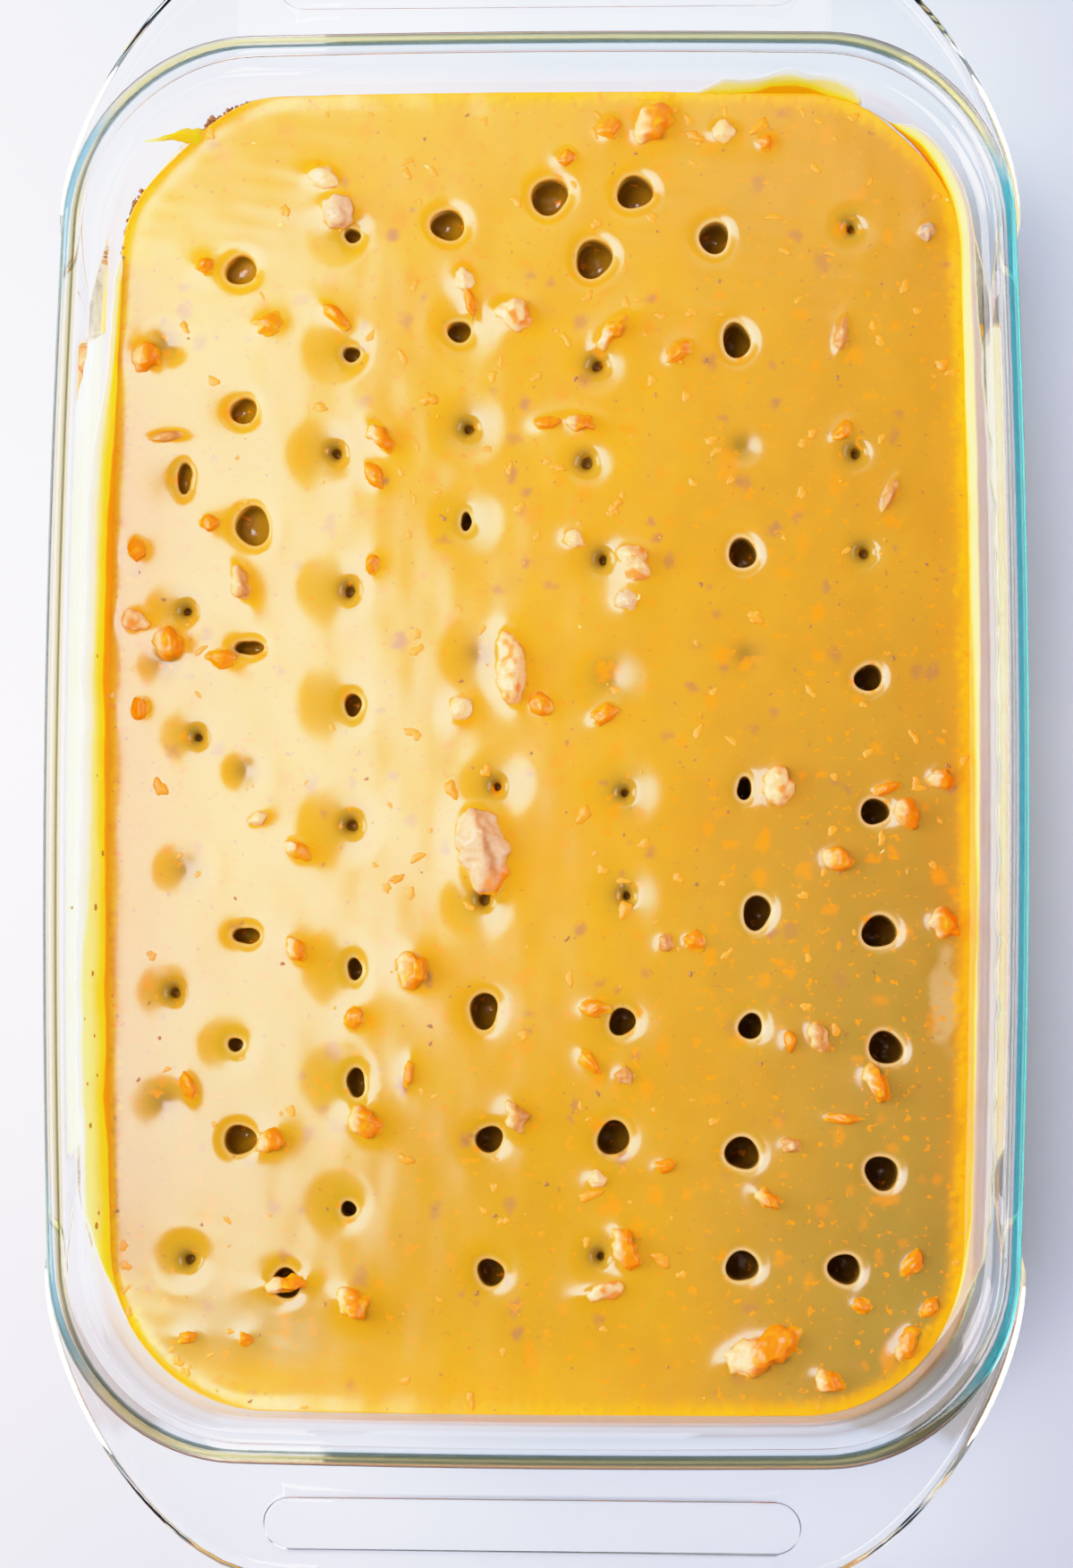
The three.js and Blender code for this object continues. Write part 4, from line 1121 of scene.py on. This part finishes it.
def chunk_pieces():
    """The larger pieces: the CAD model's own, made even, roofed and roughened above the sauce."""
    pieces = []
    for item in CHUNKS:
        node = f"chunk_{item.number:02d}"
        piece = bpy.data.objects.new(f"candy_{item.number:02d}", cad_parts[node].data.copy())
        bpy.context.collection.objects.link(piece)
        remesh = piece.modifiers.new("even", "REMESH")
        remesh.mode = "VOXEL"
        remesh.voxel_size = (0.5 if item.number <= 4 else 0.4) * MM
        relax = piece.modifiers.new("relax", "SMOOTH")
        relax.iterations = 8
        relax.factor = 0.6
        apply_modifiers(piece)
        x, y, z = positions(piece).T
        level = cad_level(x, y)
        above = z - level
        move(piece, np.column_stack((x, y, np.where(above > 0, level + above * roof(x, y, item), z))))
        roughen(piece, item.number, 0.14 if item.kind == "nut" else 0.38)
        candy_colour(piece, item)
        pieces.append((piece, item.kind, node))
    return pieces


def ball(steps, lowest=-2.0):
    """Points and faces of a unit sphere, without its part below a height."""
    mesh = bmesh.new()
    bmesh.ops.create_icosphere(mesh, subdivisions=steps, radius=1)
    bmesh.ops.delete(mesh, geom=[v for v in mesh.verts if v.co.z < lowest], context="VERTS")
    mesh.verts.index_update()
    points = np.array([tuple(v.co) for v in mesh.verts])
    faces = [tuple(v.index for v in f.verts) for f in mesh.faces]
    mesh.free()
    return points, faces


def bit_shape(item, unit):
    """Points of a low broken piece with an uneven edge, shaped from those of a unit sphere."""
    dice = random.Random(900 + item.number)
    cuts = []
    for _ in range(14):
        way = Vector((dice.uniform(-1, 1), dice.uniform(-1, 1), dice.uniform(-0.25, 0.5))).normalized()
        cuts.append((way, dice.uniform(0.62, 0.9)))
    shift = Vector((item.number * 3.7, 1.2, 5.5))
    points = []
    for p in map(Vector, unit):
        for way, far in cuts:
            over = p.dot(way) - far
            if over > 0:
                p -= way * over * 0.95
        lump = 1 + 0.24 * noise.noise(p * 1.6 + shift) + 0.12 * noise.noise(p * 4 + shift)
        points.append((p.x * lump, p.y * lump, p.z * lump))
    x, y, z = np.transpose(points) * [[item.length / 2 * 1.12], [item.width / 2 * 1.12], [1.8]]
    x, y = rotate(x, y, math.radians(item.turn))
    x += item.x
    y += item.y
    z = np.where(z > 0, z * roof(x, y, item), z)
    return np.column_stack((x, y, cad_level(item.x, item.y) + z + 0.15))


def bit_pieces():
    """The smaller bits, one object for each kind."""
    unit, faces = ball(4)
    pieces = []
    for kind in CANDY:
        body = Body()
        for item in BITS:
            if item.kind != kind:
                continue
            at = bit_shape(item, unit)
            patch = noise_at(at, 1.8, item.number + 500)
            mottle = ORANGE_LIGHT if kind == "orange" else CANDY["pale"]
            colour = blend(CANDY[kind], mottle, 0.6 * smoothstep(0.1, 0.5, patch))
            height = at[:, 2] - cad_level(at[:, 0], at[:, 1])
            sauce = 1 - smoothstep(0.2, 0.7, height + 0.3 * patch)
            body.add(at, blend(colour, AMBER, 0.95 * sauce), faces)
        pieces.append((body.build(f"bits_{kind}"), kind, None))
    return pieces


# Flakes in the sauce: share of all, smallest and largest size, height for a size of 1 and colour
FLAKE_KINDS = {
    "orange": (0.60, (0.4, 1.4), 0.11, (1.0, 0.32, 0.0004)),
    "chip": (0.04, (1.2, 2.0), 0.25, (1.0, 0.30, 0.0004)),
    "pale": (0.03, (0.3, 0.7), 0.3, (1.0, 0.62, 0.16)),
    "brown": (0.21, (0.25, 0.6), 0.5, (0.34, 0.17, 0.05)),
    "bubble": (0.12, (0.22, 0.42), 0.7, (0.90, 0.42, 0.01)),
}


def border_spots(dice):
    """Places for flakes along the sauce's edge, most of them at the near left corner."""
    spots = []
    for x, y in sauce_border(SAUCE_LEVEL, 0.9):
        crowd = 0.24 if x < -45 and y < -105 else 0.04
        if dice.random() < crowd:
            shrink = 1 - abs(dice.gauss(0, 0.012))
            spots.append((x * shrink, y * shrink))
    return np.array(spots)


def wall_specks():
    """Brown specks that stick to the left film."""
    unit, faces = ball(2)
    body = Body()
    for y, z, radius in WALL_SPECKS:
        inset = np.interp(z, WALL_HEIGHT, WALL_INSET)
        x = -(HALF_WIDTH - inset) * (1 - SIDE_BOW * (y / HALF_LENGTH) ** 2) + 0.35
        body.add(unit * (0.35 * radius, radius, 1.2 * radius) + (x, y, z), SPECK_BROWN, faces)
    return body.build("wall_specks")


def crumbs():
    """Tiny flakes of candy, crumbs and bubbles, half sunk in the sauce."""
    dice = random.Random(31)
    spots = np.array([(dice.uniform(-102, 102), dice.uniform(-157, 157)) for _ in range(FLAKES)])
    x, y = spots.T
    every = np.where(x < -35, 2, np.where((x > 40) & (y < -60), 4, 1))
    spots = np.vstack((spots[np.arange(len(spots)) % every == 0], border_spots(dice)))
    border = sauce_border(SAUCE_LEVEL, 0.3)
    spots = spots[inside(spots, border)]
    for hole in HOLES:
        spots = spots[hole_distance(*spots.T, hole) > 1.2]
    level = sauce_height(*spots.T, edge_distance(*spots.T, border) + 0.3)
    unit, faces = ball(3, -0.35)
    angle = np.arctan2(unit[:, 1], unit[:, 0])
    shares = [look[0] for look in FLAKE_KINDS.values()]
    body = Body()
    for number, spot in enumerate(at_height(spots, level)):
        kind = dice.choices(tuple(FLAKE_KINDS), shares)[0]
        _, sizes, flat, colour = FLAKE_KINDS[kind]
        size = dice.uniform(*sizes)
        stretch = 1 if kind == "bubble" else dice.uniform(0.7, 1.5)
        turn = dice.uniform(0, TURN)
        wave = 0.55 * np.sin(2 * angle + number) + 0.4 * np.sin(3 * angle + 2.3 * number)
        wave += 0.3 * np.sin(5 * angle + 3.1 * number)
        lumps = 1 + (0 if kind == "bubble" else 0.36) * wave
        x, y, z = (unit * lumps[:, None] * (size * stretch, size / stretch, size * flat)).T
        points = np.column_stack((*rotate(x, y, turn), z)) + spot
        sauce = 1 - smoothstep(0.1, 0.6, z / (size * flat))
        body.add(points, blend(colour, AMBER, 0.9 * sauce), faces)
    return body.build("tiny_crumbs")


def corner_crumbs():
    """Sponge crumbs that show at the far left corner, where the sauce stands in from the glass."""
    dice = random.Random(58)
    border = sauce_border(SAUCE_LEVEL, -0.4)
    x, y = border.T
    chosen = border[((x < -90) & (y > 120) & (y < 138)) | ((x > -86) & (x < -73) & (y > 140))]
    unit, faces = ball(3)
    body = Body()
    for number in range(3 * len(chosen)):
        x, y = chosen[number // 3] + (dice.uniform(-0.8, 0.8), dice.uniform(-0.8, 0.8))
        size = dice.uniform(0.3, 0.75)
        shift = Vector((number * 2.3, 4.1, 0.7))
        lumps = np.array([1 + 0.5 * noise.noise(Vector(p) * 1.3 + shift) for p in unit])
        local = unit * lumps[:, None] * size
        body.add(local + (x, y, 39.0 + dice.uniform(0, 1.4)), CRUMB_BROWN, faces)
    return body.build("corner_crumbs")


# Materials
class Net:
    """The node tree of a material or world, with short ways to add to it."""

    def __init__(self, owner):
        owner.use_nodes = True
        self.owner = owner
        self.nodes = owner.node_tree.nodes
        self.links = owner.node_tree.links

    def feed(self, socket, value):
        """Sets an input from another node's output or from a plain value."""
        if isinstance(value, bpy.types.NodeSocket):
            self.links.new(value, socket)
        else:
            socket.default_value = (*value, 1) if socket.type == "RGBA" else value

    def set(self, node, **inputs):
        for name, value in inputs.items():
            self.feed(node.inputs[name.replace("_", " ")], value)

    def surface(self, **inputs):
        """Sets the surface shader's inputs, and gives the material."""
        self.set(self.nodes["Principled BSDF"], **inputs)
        return self.owner

    def add(self, kind, output, **inputs):
        """A new node with its inputs set. Gives the output of that name."""
        node = self.nodes.new(f"ShaderNode{kind}")
        self.set(node, **inputs)
        return node.outputs[output]

    def tint(self):
        """The colours painted on the mesh."""
        layer = self.nodes.new("ShaderNodeVertexColor")
        layer.layer_name = "tint"
        return layer.outputs["Color"]

    def noise(self, scale, detail=3.0, roughness=0.55):
        place = self.add("TexCoord", "Object")
        return self.add("TexNoise", "Fac", Vector=place, Scale=scale, Detail=detail, Roughness=roughness)

    def mix(self, factor, first, second, mode="MIX"):
        """A mix of two colours."""
        node = self.nodes.new("ShaderNodeMix")
        node.data_type = "RGBA"
        node.blend_type = mode
        for number, value in ((0, factor), (6, first), (7, second)):
            self.feed(node.inputs[number], value)
        return node.outputs[2]

    def ramp(self, source, *stops):
        """Colours for a value, from stops of value and colour or grey."""
        node = self.nodes.new("ShaderNodeValToRGB")
        elements = node.color_ramp.elements
        while len(elements) < len(stops):
            elements.new(0.5)
        for element, (place, colour) in zip(elements, stops):
            element.position = place
            element.color = (*np.broadcast_to(colour, 3), 1)
        self.links.new(source, node.inputs["Fac"])
        return node.outputs["Color"]

    def bump(self, height, strength, distance, **before):
        """A normal from heights over a distance in millimetres."""
        return self.add("Bump", "Normal", Height=height, Strength=strength, Distance=distance * MM, **before)


def new_net(name):
    return Net(bpy.data.materials.new(name))


def glass_material():
    """Clear glass with the rim's tints and painted reflections, green in its depth, that casts a light shadow.
    """
    net = new_net("clear_glass")
    normal = net.bump(net.noise(24, 1.0), 0.12, 0.5)
    net.surface(Base_Color=WHITE_TINT, Roughness=0.0, IOR=GLASS_IOR, Transmission_Weight=1.0, Normal=normal)
    net.surface(Base_Color=net.tint())
    glass = net.nodes["Principled BSDF"].outputs["BSDF"]
    clear = net.add("BsdfTransparent", "BSDF", Color=(0.93, 0.96, 0.96))
    either = net.nodes.new("ShaderNodeMixShader")
    for number, value in enumerate((net.add("LightPath", "Is Shadow Ray"), glass, clear)):
        net.feed(either.inputs[number], value)
    depth = net.add("VolumeAbsorption", "Volume", Color=(0.45, 0.86, 0.84), Density=9.0)
    net.set(net.nodes["Material Output"], Surface=either.outputs["Shader"], Volume=depth)
    return net.owner


def sauce_material(name, gloss=0.15, soft=0.2, flecks=True):
    """Glossy sauce in the painted colours, with or without fine flecks in it."""
    net = new_net(name)
    faint = net.ramp(net.noise(60, 4.0), (0.35, (0.95, 0.92, 0.85)), (0.65, 1.0))
    colour = net.mix(1.0, net.tint(), faint, "MULTIPLY")
    if flecks:
        orange = net.ramp(net.noise(430, 3.0, 0.5), (0.63, 0.0), (0.685, 0.85))
        colour = net.mix(orange, colour, (1.0, 0.29, 0.0004))
        brown = net.ramp(net.noise(610, 2.0, 0.5), (0.70, 0.0), (0.74, 0.7))
        colour = net.mix(brown, colour, (0.34, 0.15, 0.04))
    return net.surface(
        Base_Color=colour,
        Roughness=gloss,
        IOR=1.48,
        Subsurface_Weight=soft,
        Subsurface_Radius=(1.8, 0.6, 0.12),
        Subsurface_Scale=MM,
        Normal=net.bump(net.noise(420, 2.0), 0.05, 0.15),
    )


def candy_material(name):
    """Flaky candy in the painted colours."""
    net = new_net(name)
    flakes = net.noise(900, 5.0, 0.65)
    shade = net.ramp(flakes, (0.3, (0.92, 0.82, 0.6)), (0.55, 1.0))
    return net.surface(
        Base_Color=net.mix(1.0, net.tint(), shade, "MULTIPLY"),
        Roughness=0.2,
        IOR=1.45,
        Specular_IOR_Level=0.35,
        Subsurface_Weight=0.2,
        Subsurface_Radius=(2.5, 1.0, 0.2),
        Subsurface_Scale=MM,
        Normal=net.bump(flakes, 0.12, 0.15),
    )


def sponge_material():
    """Chocolate crumb, paler and smoother toward the top where the painted colour is pale, with painted shade
    in its pores.
    """
    net = new_net("sponge_crumb")
    brown = net.ramp(net.noise(95, 5.0, 0.6), (0.3, (0.5, 0.45, 0.4)), (0.52, 1.0), (0.72, (1.7, 1.7, 1.8)))
    pores = net.add("TexVoronoi", "Distance", Vector=net.add("TexCoord", "Object"), Scale=420)
    # Painted shade: the crumb's pores are darker
    dark = net.ramp(pores, (0.1, (0.45, 0.43, 0.4)), (0.42, 1.0))
    tint = net.tint()
    speckled = net.mix(1.0, tint, net.mix(0.8, brown, dark, "MULTIPLY"), "MULTIPLY")
    pale_share = net.ramp(net.add("SeparateColor", "Green", Color=tint), (0.05, 0.0), (0.45, 1.0))
    normal = net.bump(net.noise(800, 4.0, 0.7), 0.5, 0.4, Normal=net.bump(pores, 0.7, 0.9))
    return net.surface(Base_Color=net.mix(pale_share, speckled, tint), Roughness=0.85, IOR=1.4, Normal=normal)


def floor_material():
    """Pale stone, white on the left, with painted shade that greys it to the right and toward the near end, and
    a little toward the far end.
    """
    net = new_net("pale_floor")
    place = net.add("TexCoord", "Object")
    shades = []
    for axis, reach, stops in (
        ("X", 0.16, ((0.0, (0.86, 0.87, 0.89)), (0.5, (0.62, 0.66, 0.71)), (1.0, (0.60, 0.635, 0.71)))),
        ("Y", 0.21, ((0.0, (0.70, 0.72, 0.77)), (0.5, 1.0), (1.0, (0.76, 0.83, 0.87)))),
    ):
        value = net.add("SeparateXYZ", axis, Vector=place)
        along = net.add("MapRange", "Result", Value=value, From_Min=-reach, From_Max=reach)
        shades.append(net.ramp(along, *stops))
    return net.surface(Base_Color=net.mix(1.0, *shades, "MULTIPLY"), Roughness=0.5, IOR=1.4)


# Assembly
def dress(piece, material, node=None):
    """Gives a piece its material and its slot, on the root, and lets it replace a CAD node."""
    piece.data.materials.clear()
    piece.data.materials.append(material)
    if node:
        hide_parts(node)
    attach(piece, "root")


crumb_finish = sponge_material()
fleck_finish = sauce_material("crumb_gloss", 0.42, 0.1, flecks=False)
candy_finish = {kind: candy_material(f"candy_{kind}_flakes") for kind in CANDY}
dress(glass_dish(), glass_material(), "dish")
dress(sponge_piece(), crumb_finish, "cake")
dress(sauce_piece(), sauce_material("amber_sauce_gloss"), "sauce")
for piece, kind, node in chunk_pieces() + bit_pieces():
    dress(piece, candy_finish[kind], node)
dress(crumbs(), fleck_finish)
dress(wall_specks(), fleck_finish)
dress(film_pieces(), sauce_material("film_gloss", 0.15, 0.85, flecks=False))
dress(corner_crumbs(), crumb_finish)


# Floor, light and camera
FLOOR_REACH = 2500
floor_corners = [(FLOOR_REACH * x, FLOOR_REACH * y, -0.3) for x, y in ((-1, -1), (1, -1), (1, 1), (-1, 1))]
floor = mesh_object("floor", floor_corners, [(0, 1, 2, 3)])
floor.data.materials.append(floor_material())


def softbox(name, place, size, radiance, colour=(1, 1, 1), aim=None):
    lamp = bpy.data.lights.new(name, "AREA")
    lamp.shape = "RECTANGLE"
    lamp.size, lamp.size_y = size
    lamp.energy = radiance * math.pi * size[0] * size[1]
    lamp.color = colour
    thing = bpy.data.objects.new(name, lamp)
    thing.location = place
    if aim is not None:
        thing.rotation_euler = (Vector(aim) - Vector(place)).to_track_quat("-Z", "Y").to_euler()
    bpy.context.collection.objects.link(thing)


softbox("window", (-0.6985, 0.125, 1.54), (1.003, 0.75), 11.8, (1.0, 0.87, 1.04))
softbox("far_card", (-0.07, 0.58, 1.54), (0.40, 0.24), 1.8)
softbox("left_light", (-1.15, 0.1, 0.6), (0.8, 0.7), 8.0, (1.0, 0.95, 0.98), aim=(0, 0, 0.03))
softbox("right_reflector", (1.05, 0.0, 0.5), (1.0, 0.6), 3.2, (1.0, 0.97, 0.97), aim=(0, 0, 0.03))

studio = Net(bpy.data.worlds.new("studio"))
bpy.context.scene.world = studio.owner
height = studio.add("SeparateXYZ", "Z", Vector=studio.add("TexCoord", "Generated"))
SKY = (
    (0.02, (0.24, 0.25, 0.25)), (0.15, (0.40, 0.42, 0.46)),
    (0.62, (0.36, 0.38, 0.42)), (0.90, (0.22, 0.215, 0.19)),
)
studio.set(studio.nodes["Background"], Color=studio.ramp(height, *SKY), Strength=1.0)

lens = bpy.data.cameras.new("camera")
lens.lens = 82.19
lens.sensor_fit = "VERTICAL"
lens.sensor_height = 36
camera = bpy.data.objects.new("camera", lens)
camera.location = (0.0389, -0.0704, 0.908)
camera.rotation_euler = tuple(math.radians(a) for a in (4.0287, 2.5448, 0.2738))
bpy.context.collection.objects.link(camera)
scene = bpy.context.scene
scene.camera = camera
scene.view_settings.view_transform = "Standard"
scene.view_settings.look = "None"
SHOULDER = ((0.2, 0.50), (0.3, 0.72), (0.4, 0.85), (0.6, 0.95))
WHITE = 2.5
scene.view_settings.use_curve_mapping = True
curves = scene.view_settings.curve_mapping
curves.white_level = (WHITE, WHITE, WHITE)
line = curves.curves[3]
for place, value in SHOULDER:
    line.points.new(place, value)
curves.update()
